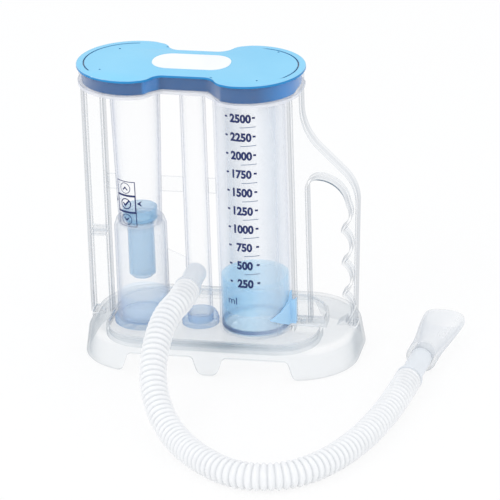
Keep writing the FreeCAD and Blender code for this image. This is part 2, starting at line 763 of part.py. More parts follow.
def breathing_tube():
    """The middle tube with the hose port standing out to the front."""
    low = "Sizes.deck_height + Sizes.breath_cap_floor"
    height = "Sizes.rim_bottom - (%s)" % low
    outside = cylinder("breath_outside", "Sizes.breath_radius", height,
                       "Sizes.breath_x", "0", low)
    inside = cylinder("breath_inside", "Sizes.breath_radius - Sizes.tube_wall",
                      height + " + 2", "Sizes.breath_x", "0", low + " - 1")
    port = cross_cylinder("port_outside", "Sizes.port_radius", "Sizes.port_reach",
                          "Sizes.breath_x", "-Sizes.port_reach", "Sizes.port_height")
    bore = cross_cylinder("port_bore", "Sizes.port_radius - Sizes.tube_wall",
                          "Sizes.port_reach + 1", "Sizes.breath_x",
                          "-Sizes.port_reach - 1", "Sizes.port_height")
    return cut("breathing_tube", fuse("breath_solid", outside, port), inside, bore)


def breathing_cap():
    """The bell-shaped foot that closes the breathing tube."""
    socket = "Sizes.breath_radius + Sizes.glue_gap"
    corners = (("0", "0"), ("Sizes.breath_cap_radius", "0"),
               ("Sizes.breath_cap_radius", "Sizes.breath_cap_height * 0.42"),
               ("Sizes.breath_cap_radius - 0.9", "Sizes.breath_cap_height * 0.72"),
               ("Sizes.breath_cap_radius - 2.4", "Sizes.breath_cap_height"),
               (socket + " + 0.9", "Sizes.breath_cap_height"),
               (socket, "Sizes.breath_cap_height - 1"),
               (socket, "Sizes.breath_cap_floor"), ("0", "Sizes.breath_cap_floor"))
    return turned("breathing_tube_cap", corners, "Sizes.breath_x", "Sizes.deck_height")


# webs and supports

def web_between(name, left, right, low, height, tools):
    """A thin plate between two upright tubes, trimmed to their walls."""
    half = "Sizes.plate_wall / 2"
    blank = box(name + "_blank", (left, "-" + half, low), (right, half, low + " + " + height))
    return cut(name, blank, *tools)


def tube_room(name, x, radius):
    return cylinder(name, radius + " + Sizes.glue_gap", "Sizes.rim_top", x, "0", "0")


def flow_room(name):
    height = "Sizes.rim_bottom - Sizes.flow_low_z"
    return cone(name, "Sizes.flow_low_radius + Sizes.glue_gap",
                "Sizes.flow_top_radius + Sizes.glue_gap", height,
                "Sizes.flow_x", "0", "Sizes.flow_low_z")


def upper_webs():
    webs = [
        web_between("web_support_flow", "Sizes.support_right", "Sizes.flow_x",
                    "Sizes.web_bottom", "Sizes.web_height", [flow_room("room_a")]),
        web_between("web_flow_breathing", "Sizes.flow_x", "Sizes.breath_x",
                    "Sizes.web_bottom", "Sizes.web_height",
                    [flow_room("room_b"),
                     tube_room("room_c", "Sizes.breath_x", "Sizes.breath_radius")]),
        web_between("web_breathing_volume", "Sizes.breath_x", "Sizes.volume_x",
                    "Sizes.web_bottom", "Sizes.web_height",
                    [tube_room("room_d", "Sizes.breath_x", "Sizes.breath_radius"),
                     tube_room("room_e", "Sizes.volume_x", "Sizes.volume_radius")]),
    ]
    return webs


def lower_web():
    """The web with a slanted top edge between the chamber and the breathing tube."""
    corners = (("Sizes.flow_x + Sizes.chamber_radius + Sizes.glue_gap", "Sizes.low_web_bottom"),
               ("Sizes.breath_x - Sizes.breath_radius - Sizes.glue_gap", "Sizes.low_web_bottom"),
               ("Sizes.breath_x - Sizes.breath_radius - Sizes.glue_gap", "Sizes.low_web_right"),
               ("Sizes.flow_x + Sizes.chamber_radius + Sizes.glue_gap", "Sizes.low_web_left"))
    return plate("lower_web", corners, "Sizes.plate_wall")


def side_support():
    """The flanged plate left of the flow tube, with a double rib across it."""
    half = "Sizes.flange_width / 2"
    wall = "Sizes.plate_wall"
    low, high = "Sizes.base_height", "Sizes.rim_bottom"
    parts = [box("support_web", ("Sizes.support_left", "-%s / 2" % wall, low),
                 ("Sizes.support_right", "%s / 2" % wall, high))]
    for tag, left in (("outer", "Sizes.support_left"), ("inner", "Sizes.support_right - " + wall)):
        parts.append(box("support_" + tag, (left, "-" + half, low),
                         (left + " + " + wall, half, high)))
    for tag, level in (("low", "Sizes.support_rib_z - 2.4"), ("high", "Sizes.support_rib_z + 1.2")):
        parts.append(box("support_rib_" + tag, ("Sizes.support_left", "-" + half, level),
                         ("Sizes.support_right", half, level + " + 1.2")))
    parts.append(peg("support_peg", peg_places()[0]))
    return fuse("side_support", *parts)


def handle_outline(name, inset, width):
    """The handle's outer form: a neck under the rim, a long flare and an upright grip."""
    slope = "(Sizes.slope_offset - (%s) * 1.41421)" % inset
    neck = "Sizes.neck_x - (%s)" % inset
    reach = "Sizes.handle_reach - (%s)" % inset
    corners = (("Sizes.leg_left + (%s)" % inset, "Sizes.base_height"),
               ("Sizes.leg_left + (%s)" % inset, "Sizes.rim_bottom"),
               (neck, "Sizes.rim_bottom"),
               (neck, "%s - (%s)" % (slope, neck)),
               (reach, "%s - (%s)" % (slope, reach)),
               ("Sizes.foot_x - (%s)" % inset, "Sizes.base_height"))
    body = plate(name, corners, width)
    doc.recompute()
    grown = 0.0 if inset == "0" else size.plate_wall
    knee_x = size.neck_x - grown
    knuckle_x = size.handle_reach - grown
    round_body(body, "Sizes.flare_round + (%s)" % inset,
               lambda e: along_y(e) and abs(e.BoundBox.XMax - knee_x) < 1e-3
               and e.BoundBox.ZMax < size.rim_bottom - 1)
    round_body(body, "Sizes.knuckle_round - (%s)" % inset,
               lambda e: along_y(e) and abs(e.BoundBox.XMax - knuckle_x) < 1e-3)
    return body


def finger_hole(name, grow, half_depth):
    """The finger opening: a shaft, an arched top and the scallops of the grip."""
    depth = "2 * (%s)" % half_depth
    front = "-(%s)" % half_depth
    left = "Sizes.leg_right - (%s)" % grow
    arch_x = "Sizes.leg_right + Sizes.hole_corner"
    arch_z = "Sizes.hole_top - Sizes.hole_arch"
    shaft = box(name + "_shaft", (left, front, "Sizes.base_height - 1"),
                ("Sizes.grip_x - (%s)" % "0" if grow == "0" else "Sizes.grip_x + (%s)" % grow,
                 half_depth, arch_z))
    corner = box(name + "_corner", (left, front, arch_z + " - 1"),
                 (arch_x, half_depth, "Sizes.hole_top + (%s)" % grow))
    grown = 0.0 if grow == "0" else size.plate_wall
    corner_round = fillet(name + "_corner_round", corner, size.hole_corner * 0.96 + grown,
                          lambda e: along_y(e) and e.BoundBox.ZMax > size.hole_top - 0.01
                          and e.BoundBox.XMax < size.leg_right + 0.01)
    arch_disc = cross_cylinder(name + "_arch_disc", "Sizes.hole_arch + (%s)" % grow, depth,
                               arch_x, front, arch_z)
    arch_room = box(name + "_arch_room",
                    (arch_x + " - 0.5", front, arch_z + " - Sizes.hole_arch * 1.5"),
                    (arch_x + " + Sizes.hole_arch * 1.5", half_depth, "Sizes.hole_top + 5"))
    arch = common(name + "_arch", arch_disc, arch_room)
    parts = [shaft, corner_round, arch]
    centre_x = "Sizes.grip_x + Sizes.scallop_depth - Sizes.scallop_radius"
    for i in range(4):
        parts.append(cross_cylinder("%s_scallop%d" % (name, i),
                                    "Sizes.scallop_radius + (%s)" % grow, depth, centre_x, front,
                                    "Sizes.scallop_top - %d * Sizes.scallop_pitch" % i))
    return fuse(name, *parts)


def handle_frame():
    """The flanged handle: web in the middle, flanges round the outline and the finger hole."""
    outside = handle_outline("handle_outside", "0", "Sizes.flange_width")
    hole = finger_hole("finger_hole", "0", "Sizes.flange_width")
    field = handle_outline("handle_field", "Sizes.plate_wall", "Sizes.flange_width * 2")
    keep = finger_hole("finger_flange", "Sizes.plate_wall", "Sizes.flange_width + 1")
    web = box("handle_web", ("Sizes.leg_left", "-Sizes.plate_wall / 2", "Sizes.base_height - 1"),
              ("Sizes.handle_reach", "Sizes.plate_wall / 2", "Sizes.rim_top"))
    pockets = cut("handle_pockets", field, keep, web)
    frame = cut("handle_shell", outside, hole, pockets)
    foot = plate("grip_foot", (("Sizes.grip_x - Sizes.foot_flare", "Sizes.base_height"),
                               ("Sizes.grip_x + 2", "Sizes.base_height"),
                               ("Sizes.grip_x + 2", "Sizes.base_height + Sizes.foot_flare")),
                 "Sizes.flange_width")
    pegs = [peg("leg_peg", peg_places()[1]), peg("grip_peg", peg_places()[2])]
    return fuse("handle_frame", frame, foot, *pegs)


# breathing hose

HOSE_ROUTE = [
    (-19.4, -43.4, 63.0),
    (-19.4, -62.4, 63.0),
    (-26.5, -86.0, 60.4),
    (-28.2, -112.0, 50.0),
    (-26.0, -140.0, 34.6),
    (-14.4, -168.0, 19.2),
    (5.0, -194.4, 10.4),
    (27.7, -220.6, 10.4),
    (52.0, -239.5, 10.4),
    (77.6, -243.6, 10.4),
    (102.6, -233.0, 10.4),
    (121.7, -208.0, 10.4),
    (136.1, -174.0, 10.4),
    (145.8, -135.2, 10.7),
    (151.8, -99.9, 11.8),
    (154.5, -70.0, 11.8),
]
ARC_SHARE = 0.45


def route_path(points):
    """Straight runs joined by tangent arcs, each arc as large as its two runs allow."""
    points = [Vector(*p) for p in points]
    edges = []
    start = points[0]
    for before, corner, after in zip(points, points[1:], points[2:]):
        into = (corner - before).normalize()
        out = (after - corner).normalize()
        half_turn = into.getAngle(out) / 2
        reach = ARC_SHARE * min((corner - before).Length, (after - corner).Length)
        radius = reach / math.tan(half_turn)
        turn = math.degrees(2 * half_turn)
        print("hose bend radius %.1f mm, turn %.1f degrees" % (radius, turn))
        first = corner - into * reach
        last = corner + out * reach
        towards = (out - into).normalize()
        middle = corner + towards * (radius / math.cos(half_turn) - radius)
        edges.append(Part.LineSegment(start, first).toShape())
        edges.append(Part.Arc(first, middle, last).toShape())
        start = last
    edges.append(Part.LineSegment(start, points[-1]).toShape())
    return Part.Wire(edges)


def swept(path, radius):
    start = path.Edges[0].valueAt(path.Edges[0].FirstParameter)
    tangent = path.Edges[0].tangentAt(path.Edges[0].FirstParameter)
    ring = Part.Wire([Part.makeCircle(radius, start, tangent)])
    return path.makePipeShell([ring], True, True)


def hose():
    path = route_path(HOSE_ROUTE)
    shape = swept(path, size.hose_radius).cut(swept(path, size.hose_radius - size.hose_wall))
    section = math.pi * (size.hose_radius ** 2 - (size.hose_radius - size.hose_wall) ** 2)
    print("hose length %.1f mm, volume over section x length %.4f"
          % (path.Length, shape.Volume / (section * path.Length)))
    obj = doc.addObject("Part::Feature", "hose")
    obj.Shape = shape
    return obj


def hose_cuff():
    """The plain moulded end pushed over the port, with a collar where the folds start."""
    end = -HOSE_ROUTE[0][1]
    reach = "%.3f - Sizes.cuff_start" % end
    plain = cross_cylinder("cuff_plain", "Sizes.cuff_radius", reach,
                           "Sizes.breath_x", "-%.3f" % end, "Sizes.port_height")
    collar = cross_cylinder("cuff_collar_ring", "Sizes.hose_radius", "Sizes.cuff_collar",
                            "Sizes.breath_x", "-%.3f" % end, "Sizes.port_height")
    bore = cross_cylinder("cuff_bore", "Sizes.cuff_radius - Sizes.cuff_wall", reach + " + 2",
                          "Sizes.breath_x", "-%.3f - 1" % end, "Sizes.port_height")
    return cut("hose_cuff", fuse("cuff_solid", plain, collar), bore)


def end_turn():
    """The hose's last direction as a turn of a piece that was made along +Y."""
    run = Vector(*HOSE_ROUTE[-1]) - Vector(*HOSE_ROUTE[-2])
    return Rotation(Vector(0, 1, 0), Vector(run.x, run.y, 0))


def mouth_cuff():
    plain = cross_cylinder("mouth_plain", "Sizes.cuff_radius", "Sizes.mouth_cuff_length",
                           "0", "0", "0")
    collar = cross_cylinder("mouth_collar", "Sizes.hose_radius", "Sizes.cuff_collar", "0", "0", "0")
    bore = cross_cylinder("mouth_bore", "Sizes.cuff_radius - Sizes.cuff_wall",
                          "Sizes.mouth_cuff_length + 2", "0", "-1", "0")
    obj = cut("mouth_cuff", fuse("mouth_solid", plain, collar), bore)
    obj.Placement = FreeCAD.Placement(Vector(*HOSE_ROUTE[-1]), end_turn())
    return obj


def mouthpiece():
    """A round socket that flares into a flat oval lip, open right through."""
    socket, length = size.mouth_socket, size.mouth_length
    wall = size.mouth_wall

    def oval(y, half_width, half_height):
        if half_width - half_height < 0.01:
            return Part.Wire([Part.makeCircle(half_width, Vector(0, y, 0), Vector(0, 1, 0))])
        ellipse = Part.Ellipse(Vector(0, 0, 0), half_width, half_height)
        edge = ellipse.toShape()
        edge.rotate(Vector(0, 0, 0), Vector(1, 0, 0), -90)
        edge.translate(Vector(0, y, 0))
        return Part.Wire([edge])

    def flared(base_radius, trim, first, last):
        sections = [oval(first, base_radius, base_radius), oval(socket, base_radius, base_radius)]
        for share in (0.2, 0.4, 0.6, 0.8, 1.0):
            ease = share * share * (3 - 2 * share)
            half_width = base_radius + (size.mouth_half_width - trim - base_radius) * ease
            half_height = base_radius + (size.mouth_half_height - trim - base_radius) * ease
            sections.append(oval(socket + (last - socket) * share, half_width, half_height))
        return Part.makeLoft(sections, True, True)

    bore = size.cuff_radius + size.glue_gap
    outside = flared(size.mouth_base_radius, 0.0, 0.0, length)
    inside = flared(bore, wall, -1.0, length + 1.0)
    shape = outside.cut(inside)
    obj = doc.addObject("Part::Feature", "mouthpiece")
    obj.Shape = shape
    start = Vector(0, size.mouth_cuff_length - size.mouth_overlap, 0)
    turn = end_turn()
    obj.Placement = FreeCAD.Placement(Vector(*HOSE_ROUTE[-1]) + turn.multVec(start), turn)
    return obj


piece(base_tray(), "base_tray")
piece(upper_rim(), "upper_rim")
piece(lid_cover(), "lid_cover")
piece(lid_label(), "lid_label")
piece(volume_cylinder(), "volume_cylinder")
piece(cylinder_floor(), "cylinder_floor")
piece(volume_piston(), "volume_piston")
piece(piston_seal(), "piston_seal")
piece(flow_tube(), "flow_tube")
piece(flow_chamber(), "flow_chamber")
piece(flow_seat(), "flow_seat")
piece(flow_cup(), "flow_cup")
piece(flow_cap(), "flow_chamber_cap")
piece(inlet_filter(), "inlet_filter")
piece(breathing_tube(), "breathing_tube")
piece(breathing_cap(), "breathing_tube_cap")
for web in upper_webs():
    piece(web, web.Name)
piece(lower_web(), "lower_web")
piece(side_support(), "side_support")
piece(handle_frame(), "handle_frame")
piece(pointer_slider(), "pointer_slider")
piece(hose_cuff(), "hose_cuff")
piece(hose(), "hose")
piece(mouth_cuff(), "mouth_cuff")
piece(mouthpiece(), "mouthpiece")
doc.recompute()

broken = [obj.Name for obj in doc.Objects if "Invalid" in obj.State or "Error" in obj.State]
for obj in pieces:
    if obj.Shape.isNull() or not obj.Shape.isValid() or not obj.Shape.Solids:
        broken.append(obj.Label)
if broken:
    raise RuntimeError("objects that failed: " + ", ".join(broken))
for obj in pieces:
    obj.Shape.exportStep("parts/%s.step" % obj.Label)
    print("%-22s %2d solid %10.1f mm3" % (obj.Label, len(obj.Shape.Solids), obj.Shape.Volume))
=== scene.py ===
import math

import bmesh
import bpy
from mathutils import Matrix, Vector


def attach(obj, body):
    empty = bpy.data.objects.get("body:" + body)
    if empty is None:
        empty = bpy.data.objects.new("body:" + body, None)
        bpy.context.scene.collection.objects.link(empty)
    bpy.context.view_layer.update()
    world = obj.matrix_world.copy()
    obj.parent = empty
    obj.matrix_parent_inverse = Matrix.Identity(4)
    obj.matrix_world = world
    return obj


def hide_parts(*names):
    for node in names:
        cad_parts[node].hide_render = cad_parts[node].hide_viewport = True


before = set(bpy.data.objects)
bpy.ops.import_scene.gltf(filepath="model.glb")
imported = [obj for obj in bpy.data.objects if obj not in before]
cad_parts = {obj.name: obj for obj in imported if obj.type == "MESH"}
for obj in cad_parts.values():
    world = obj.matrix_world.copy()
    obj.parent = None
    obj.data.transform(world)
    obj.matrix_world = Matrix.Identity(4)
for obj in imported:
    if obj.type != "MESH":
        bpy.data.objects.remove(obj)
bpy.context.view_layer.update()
MM = 0.001
X, Y, Z = 0, 1, 2
WHITE = (1.0, 1.0, 1.0, 1.0)
scene = bpy.context.scene
scene.view_settings.view_transform = "Standard"
scene.cycles.transparent_max_bounces = 48
scene.cycles.max_bounces = 10

# sizes of the CAD model that the looks, the printed marks and the hose follow, in millimetres
VOLUME_X, VOLUME_R = 24.6, 28.0
FLOW_X, FLOW_LOW_R, FLOW_TOP_R, FLOW_LOW_Z, FLOW_TOP_Z = -64.0, 16.7, 19.5, 99.0, 214.9
HOSE_R = 10.4
HOSE_ROUTE = [
    (-19.4, -43.4, 63.0),
    (-19.4, -62.4, 63.0),
    (-26.5, -86.0, 60.4),
    (-28.2, -112.0, 50.0),
    (-26.0, -140.0, 34.6),
    (-14.4, -168.0, 19.2),
    (5.0, -194.4, 10.4),
    (27.7, -220.6, 10.4),
    (52.0, -239.5, 10.4),
    (77.6, -243.6, 10.4),
    (102.6, -233.0, 10.4),
    (121.7, -208.0, 10.4),
    (136.1, -174.0, 10.4),
    (145.8, -135.2, 10.7),
    (151.8, -99.9, 11.8),
    (154.5, -70.0, 11.8),
]
# how much deeper the lid's skirt and the rim stand over the volume cylinder, and the x over which it grows
DROP, DROP_X = 2.4, (-2.0, 6.0)


def mm(*values):
    """Millimetres as metres."""
    return tuple(value * MM for value in values)


def share_between(value, start, end):
    """0 at the start and 1 at the end."""
    return min(max((value - start) / (end - start), 0.0), 1.0)


def round_angles(count):
    return [2 * math.pi * i / count for i in range(count)]


def srgb(r, g, b):
    """A colour of 0-255 sRGB values as linear RGBA."""
    out = []
    for value in (r, g, b):
        c = value / 255.0
        out.append(c / 12.92 if c <= 0.04045 else ((c + 0.055) / 1.055) ** 2.4)
    return (*out, 1.0)


# looks of the materials

# the mix node's sockets for colours, which share their names with its other sockets
MIX_FIRST, MIX_SECOND, MIX_RESULT = 6, 7, 2


class Nodes:
    """The node tree of a material or of the world, with short calls for the nodes that the scene uses."""

    def __init__(self, owner, output="ShaderNodeOutputMaterial"):
        self.owner = owner
        owner.use_nodes = True
        self.tree = owner.node_tree
        self.tree.nodes.clear()
        self.out = self.add(output)

    def add(self, kind, **values):
        node = self.tree.nodes.new(kind)
        for key, value in values.items():
            setattr(node, key, value)
        return node

    def link(self, a, b):
        self.tree.links.new(a, b)

    def feed(self, socket, value):
        """Give a socket a constant or another node's output."""
        if isinstance(value, bpy.types.NodeSocket):
            self.link(value, socket)
        else:
            socket.default_value = value

    def place(self):
        return self.add("ShaderNodeTexCoord").outputs["Object"]

    def axis(self, space, index):
        """One component of the object coordinates or of the normal."""
        coords = self.add("ShaderNodeTexCoord")
        parts = self.add("ShaderNodeSeparateXYZ")
        self.link(coords.outputs[space], parts.inputs[0])
        return parts.outputs[index]

    def facing(self, power):
        """0 face on and 1 where the surface turns away, raised to a power."""
        weight = self.add("ShaderNodeLayerWeight")
        weight.inputs["Blend"].default_value = 0.5
        return self.math("POWER", weight.outputs["Facing"], power)

    def noise(self, scale, detail=3.0):
        noise = self.add("ShaderNodeTexNoise")
        noise.inputs["Scale"].default_value = scale
        noise.inputs["Detail"].default_value = detail
        self.link(self.place(), noise.inputs["Vector"])
        return noise.outputs["Fac"]

    def cloud(self, scale, low, high):
        """A cloudy variation between low and high."""
        return self.span(self.noise(scale), low, high)

    def span(self, value, low, high):
        """Map 0..1 to low..high."""
        node = self.add("ShaderNodeMapRange")
        node.inputs["To Min"].default_value = low
        node.inputs["To Max"].default_value = high
        self.link(value, node.inputs["Value"])
        return node.outputs["Result"]

    def step(self, value, low, high):
        """0 at low and 1 at high, whichever is larger."""
        node = self.add("ShaderNodeMapRange")
        node.inputs["From Min"].default_value = low
        node.inputs["From Max"].default_value = high
        self.link(value, node.inputs["Value"])
        return node.outputs["Result"]

    def window(self, value, low, peak, high):
        """0 outside low and high and 1 at the peak."""
        return self.times(self.step(value, low, peak), self.step(value, high, peak))

    def math(self, kind, a, b):
        node = self.add("ShaderNodeMath", operation=kind)
        self.feed(node.inputs[0], a)
        self.feed(node.inputs[1], b)
        return node.outputs[0]

    def times(self, a, b):
        return self.math("MULTIPLY", a, b)

    def plus(self, a, b):
        return self.math("ADD", a, b)

    def absolute(self, value):
        return self.math("ABSOLUTE", value, 0.0)

    def vector_math(self, kind, a, b=(0.0, 0.0, 0.0)):
        node = self.add("ShaderNodeVectorMath", operation=kind)
        self.feed(node.inputs[0], a)
        self.feed(node.inputs[1], b)
        return node

    def reach(self, point, centre, keep):
        """Distance of a point from the centre, over the axes to keep."""
        flat = self.vector_math("MULTIPLY", point, keep)
        return self.vector_math("DISTANCE", flat.outputs[0], centre).outputs["Value"]

    def ramp(self, value, stops):
        node = self.add("ShaderNodeValToRGB")
        element = node.color_ramp.elements
        while len(element) < len(stops):
            element.new(0.5)
        for i, (at, colour) in enumerate(stops):
            element[i].position = at
            element[i].color = colour
        self.link(value, node.inputs["Fac"])
        return node.outputs["Color"]

    def blend(self, share, first, second):
        """Mix two colours, each a tuple or a socket."""
        node = self.add("ShaderNodeMix", data_type="RGBA")
        self.link(share, node.inputs[0])
        self.feed(node.inputs[MIX_FIRST], first)
        self.feed(node.inputs[MIX_SECOND], second)
        return node.outputs[MIX_RESULT]

    def principled(self, colour, rough, **values):
        node = self.add("ShaderNodeBsdfPrincipled")
        self.feed(node.inputs["Base Color"], colour)
        self.feed(node.inputs["Roughness"], rough)
        for key, value in values.items():
            node.inputs[key.replace("_", " ")].default_value = value
        return node

    def gloss(self, rough=0.06):
        """The roughness of clear moulded plastic, which varies a little."""
        return self.cloud(28.0, rough, rough + 0.06)

    def bump(self, shader, height, strength, distance):
        node = self.add("ShaderNodeBump")
        node.inputs["Strength"].default_value = strength
        node.inputs["Distance"].default_value = distance
        self.link(height, node.inputs["Height"])
        self.link(node.outputs["Normal"], shader.inputs["Normal"])

    def ripple(self, shader):
        """The slightly uneven surface of clear moulded plastic."""
        self.bump(shader, self.noise(60.0, 2.0), 0.04, 0.0006)

    def mix(self, share, first, second):
        """Mix two shaders."""
        node = self.add("ShaderNodeMixShader")
        self.link(share, node.inputs["Fac"])
        self.link(first.outputs[0], node.inputs[1])
        self.link(second.outputs[0], node.inputs[2])
        return node

    def see_through(self, cover, shader, tint=WHITE):
        """The shader over clear or tinted sight, in the share that cover gives."""
        clear = self.add("ShaderNodeBsdfTransparent")
        clear.inputs["Color"].default_value = tint
        return self.mix(cover, clear, shader)

    def light(self, kind, colour, strength):
        """A background or an emission."""
        node = self.add(kind)
        node.inputs["Color"].default_value = colour
        node.inputs["Strength"].default_value = strength
        return node

    def finish(self, shader):
        self.link(shader.outputs[0], self.out.inputs["Surface"])
        return self.owner


def new_look(name):
    return Nodes(bpy.data.materials.new(name))


def clear_plastic(name, face, edge, cover, power, rough=0.06):
    """Clear plastic: seen through face on, and tinted and denser where it turns away."""
    n = new_look(name)
    turn = n.facing(power)
    colour = n.ramp(turn, [(0.0, face), (0.75, edge)])
    shader = n.principled(colour, n.gloss(rough))
    n.ripple(shader)
    share = n.times(n.span(turn, *cover), n.cloud(28.0, 0.9, 1.1))
    return n.finish(n.see_through(share, shader))


CYLINDER_COLOURS = [(0.0, srgb(226, 232, 242)), (0.6, srgb(214, 220, 236)), (0.95, srgb(150, 160, 186))]


def cylinder_plastic():
    """The volume cylinder: pale milky edges, and a grey band of painted reflection on its side towards the
    handle.
    """
    n = new_look("clear_cylinder")
    turn = n.facing(3.0)
    # painted reflection: a grey band with more cover on the side that faces the handle
    band = n.window(n.axis("Normal", X), 0.05, 0.8, 1.02)
    colour = n.blend(band, n.ramp(turn, CYLINDER_COLOURS), srgb(194, 206, 220))
    shader = n.principled(colour, n.gloss())
    n.ripple(shader)
    cover = n.times(n.span(turn, 0.03, 0.45), n.cloud(28.0, 0.9, 1.1))
    cover = n.plus(cover, n.times(band, n.cloud(28.0, 0.28, 0.4)))
    return n.finish(n.see_through(cover, shader))


def solid_plastic(name, dark, light, rough, grain=45.0, bump=0.05):
    """Moulded plastic with a faint cloudy variation and a fine uneven surface."""
    n = new_look(name)
    colour = n.ramp(n.noise(22.0), [(0.3, dark), (0.7, light)])
    shader = n.principled(colour, n.cloud(30.0, rough, rough + 0.08))
    n.bump(shader, n.noise(grain, 4.0), bump, 0.0005)
    return n.finish(shader)


# the lid's lobes lie to each side of LOBE_MIDDLE, and its grooves run GROOVE_R round their centres
LOBE_MIDDLE, LOBE_REACH, GROOVE_R, GROOVE_HALF = mm(-19.7, 44.3, 37.65, 1.1)
# where the grooves' painted shade starts, in x from LOBE_MIDDLE and in y
GROOVE_END_X, GROOVE_END_Y = mm(47.0, 50.0), mm(-25.0, -21.5)
# heights between which the grooves' floors turn dark with painted shade, and the skirt in painted shade turns
# into the lip
GROOVE_FLOOR_Z, LID_LIP_Z = mm(230.3, 230.1), mm(228.3, 228.6)


def lid_groove_painted_shade(n):
    """A narrow band of painted shade along the two grooves of the lid."""
    centred = n.vector_math("SUBTRACT", n.place(), (LOBE_MIDDLE, 0.0, 0.0))
    either = n.vector_math("ABSOLUTE", centred.outputs[0]).outputs[0]
    reach = n.reach(either, (LOBE_REACH, 0.0, 0.0), (1, 1, 0))
    ring = n.window(reach, GROOVE_R - GROOVE_HALF, GROOVE_R, GROOVE_R + GROOVE_HALF)
    parts = n.add("ShaderNodeSeparateXYZ")
    n.link(either, parts.inputs[0])
    ends = n.times(n.step(parts.outputs[X], *GROOVE_END_X), n.step(n.axis("Object", Y), *GROOVE_END_Y))
    return n.times(ring, ends)


def lid_plastic():
    """The lid: pale blue on top, painted shade in and along its grooves, a painted highlight on its rounded
    edge, and sides in painted shade: a saturated lip and a deep blue skirt, lighter towards the handle as
    painted light.
    """
    n = new_look("lid_blue")
    height, upward = n.axis("Object", Z), n.axis("Normal", Z)
    # painted shade: a dark band along the grooves on the top, then darker groove floors
    painted_groove_shade = n.times(lid_groove_painted_shade(n), n.cloud(40.0, 0.7, 0.9))
    top = n.ramp(n.noise(9.0), [(0.3, srgb(114, 203, 244)), (0.7, srgb(134, 215, 250))])
    top = n.blend(painted_groove_shade, top, srgb(24, 104, 158))
    top = n.blend(n.step(height, *GROOVE_FLOOR_Z), top, srgb(14, 66, 108))
    # painted light and shade: the skirt is lighter where it faces the handle and darker elsewhere
    painted_light_to_handle = n.step(n.axis("Normal", X), 0.35, 0.8)
    skirt = n.blend(painted_light_to_handle, srgb(22, 90, 150), srgb(14, 130, 206))
    lip = n.blend(n.noise(14.0), srgb(10, 124, 190), srgb(22, 144, 210))
    side = n.blend(n.step(height, *LID_LIP_Z), skirt, lip)
    # the sides are painted darker than the top by which way they face, as painted shade
    colour = n.blend(n.step(upward, 0.72, 0.98), side, top)
    # painted highlight: a pale line along the rounded edge between the top and the sides
    painted_edge_highlight = n.window(upward, 0.45, 0.75, 0.97)
    colour = n.blend(painted_edge_highlight, colour, srgb(176, 230, 250))
    shader = n.principled(colour, n.cloud(30.0, 0.2, 0.3))
    n.bump(shader, n.noise(70.0, 3.0), 0.04, 0.0005)
    return n.finish(n.see_through(n.cloud(12.0, 0.93, 0.97), shader))


# heights between which the rim's walls turn into its floor band, before the drop
RIM_BAND_Z = mm(218.2, 216.8)


def rim_plastic():
    """The rim: clear walls over the lid's skirt and a thick milky floor band, which follows the drop."""
    n = new_look("clear_rim")
    turn = n.facing(2.6)
    lowered = n.span(n.step(n.axis("Object", X), *mm(*DROP_X)), 0.0, DROP * MM)
    band = n.step(n.plus(n.axis("Object", Z), lowered), *RIM_BAND_Z)
    clear = n.ramp(turn, [(0.0, srgb(238, 241, 247)), (0.8, srgb(164, 176, 198))])
    milky = n.ramp(turn, [(0.0, srgb(252, 252, 254)), (0.9, srgb(206, 210, 224))])
    shader = n.principled(n.blend(band, clear, milky), n.gloss())
    n.ripple(shader)
    cover = n.plus(n.span(turn, 0.03, 0.45), n.times(band, n.cloud(20.0, 0.36, 0.5)))
    return n.finish(n.see_through(cover, shader))


# the colour of sight through the piston, and through the cup and the foot caps
PISTON_TINT, PALE_TINT = (0.90, 0.968, 1.0, 1.0), (0.95, 0.98, 1.0, 1.0)
# the piston: radii from its inside to its outside, heights from its lower to its upper part and of its top
PISTON_WALL_R, PISTON_PARTS_Z, PISTON_TOP_Z = mm(25.1, 26.0), mm(33.0, 36.0), mm(60.8, 56.0)


def piston_plastic():
    """The piston: pale outside, more saturated inside, thinner towards its top, and with a faint painted
    glow.
    """
    n = new_look("piston_blue")
    turn, height = n.facing(1.8), n.axis("Object", Z)
    outer = n.step(n.reach(n.place(), (VOLUME_X * MM, 0.0, 0.0), (1, 1, 0)), *PISTON_WALL_R)
    upper = n.ramp(turn, [(0.0, srgb(224, 240, 250)), (0.85, srgb(226, 236, 246))])
    lower = n.ramp(turn, [(0.0, srgb(196, 226, 246)), (0.85, srgb(210, 226, 242))])
    outside = n.blend(n.step(height, *PISTON_PARTS_Z), lower, upper)
    inside = n.ramp(n.noise(16.0), [(0.3, srgb(140, 210, 236)), (0.7, srgb(158, 218, 242))])
    # the faint emission is a painted glow
    shader = n.principled(n.blend(outer, inside, outside), n.cloud(26.0, 0.15, 0.25),
                          Emission_Strength=0.12, Emission_Color=srgb(196, 226, 246))
    n.ripple(shader)
    cover = n.times(n.span(outer, 0.24, 0.3), n.span(n.step(height, *PISTON_TOP_Z), 0.45, 1.0))
    return n.finish(n.see_through(cover, shader, PISTON_TINT))


def fading_plastic(name, face, edge, cover, fade_z, thin):
    """Translucent blue plastic that thins towards its top, over the heights fade_z."""
    n = new_look(name)
    turn = n.facing(1.8)
    colour = n.ramp(turn, [(0.0, face), (0.85, edge)])
    shader = n.principled(colour, n.cloud(26.0, 0.15, 0.25))
    n.ripple(shader)
    lower = n.step(n.axis("Object", Z), *fade_z)
    share = n.times(n.span(turn, *cover), n.span(lower, thin, 1.0))
    return n.finish(n.see_through(share, shader, PALE_TINT))


BODY_FACE, BODY_EDGE = srgb(236, 242, 247), srgb(70, 94, 120)
# the arch over the finger opening: its centre, and the radii from the inside to the outside of its gleam
ARCH_CENTRE, ARCH_GLEAM_R = mm(76.4, 0.0, 121.0), mm(20.3, 21.6, 23.1)
# where the gleam grows, in x, y and z
ARCH_GLEAM_X, ARCH_GLEAM_Y, ARCH_GLEAM_Z = mm(72.0, 77.0), mm(-3.0, -4.5), mm(124.0, 136.0)


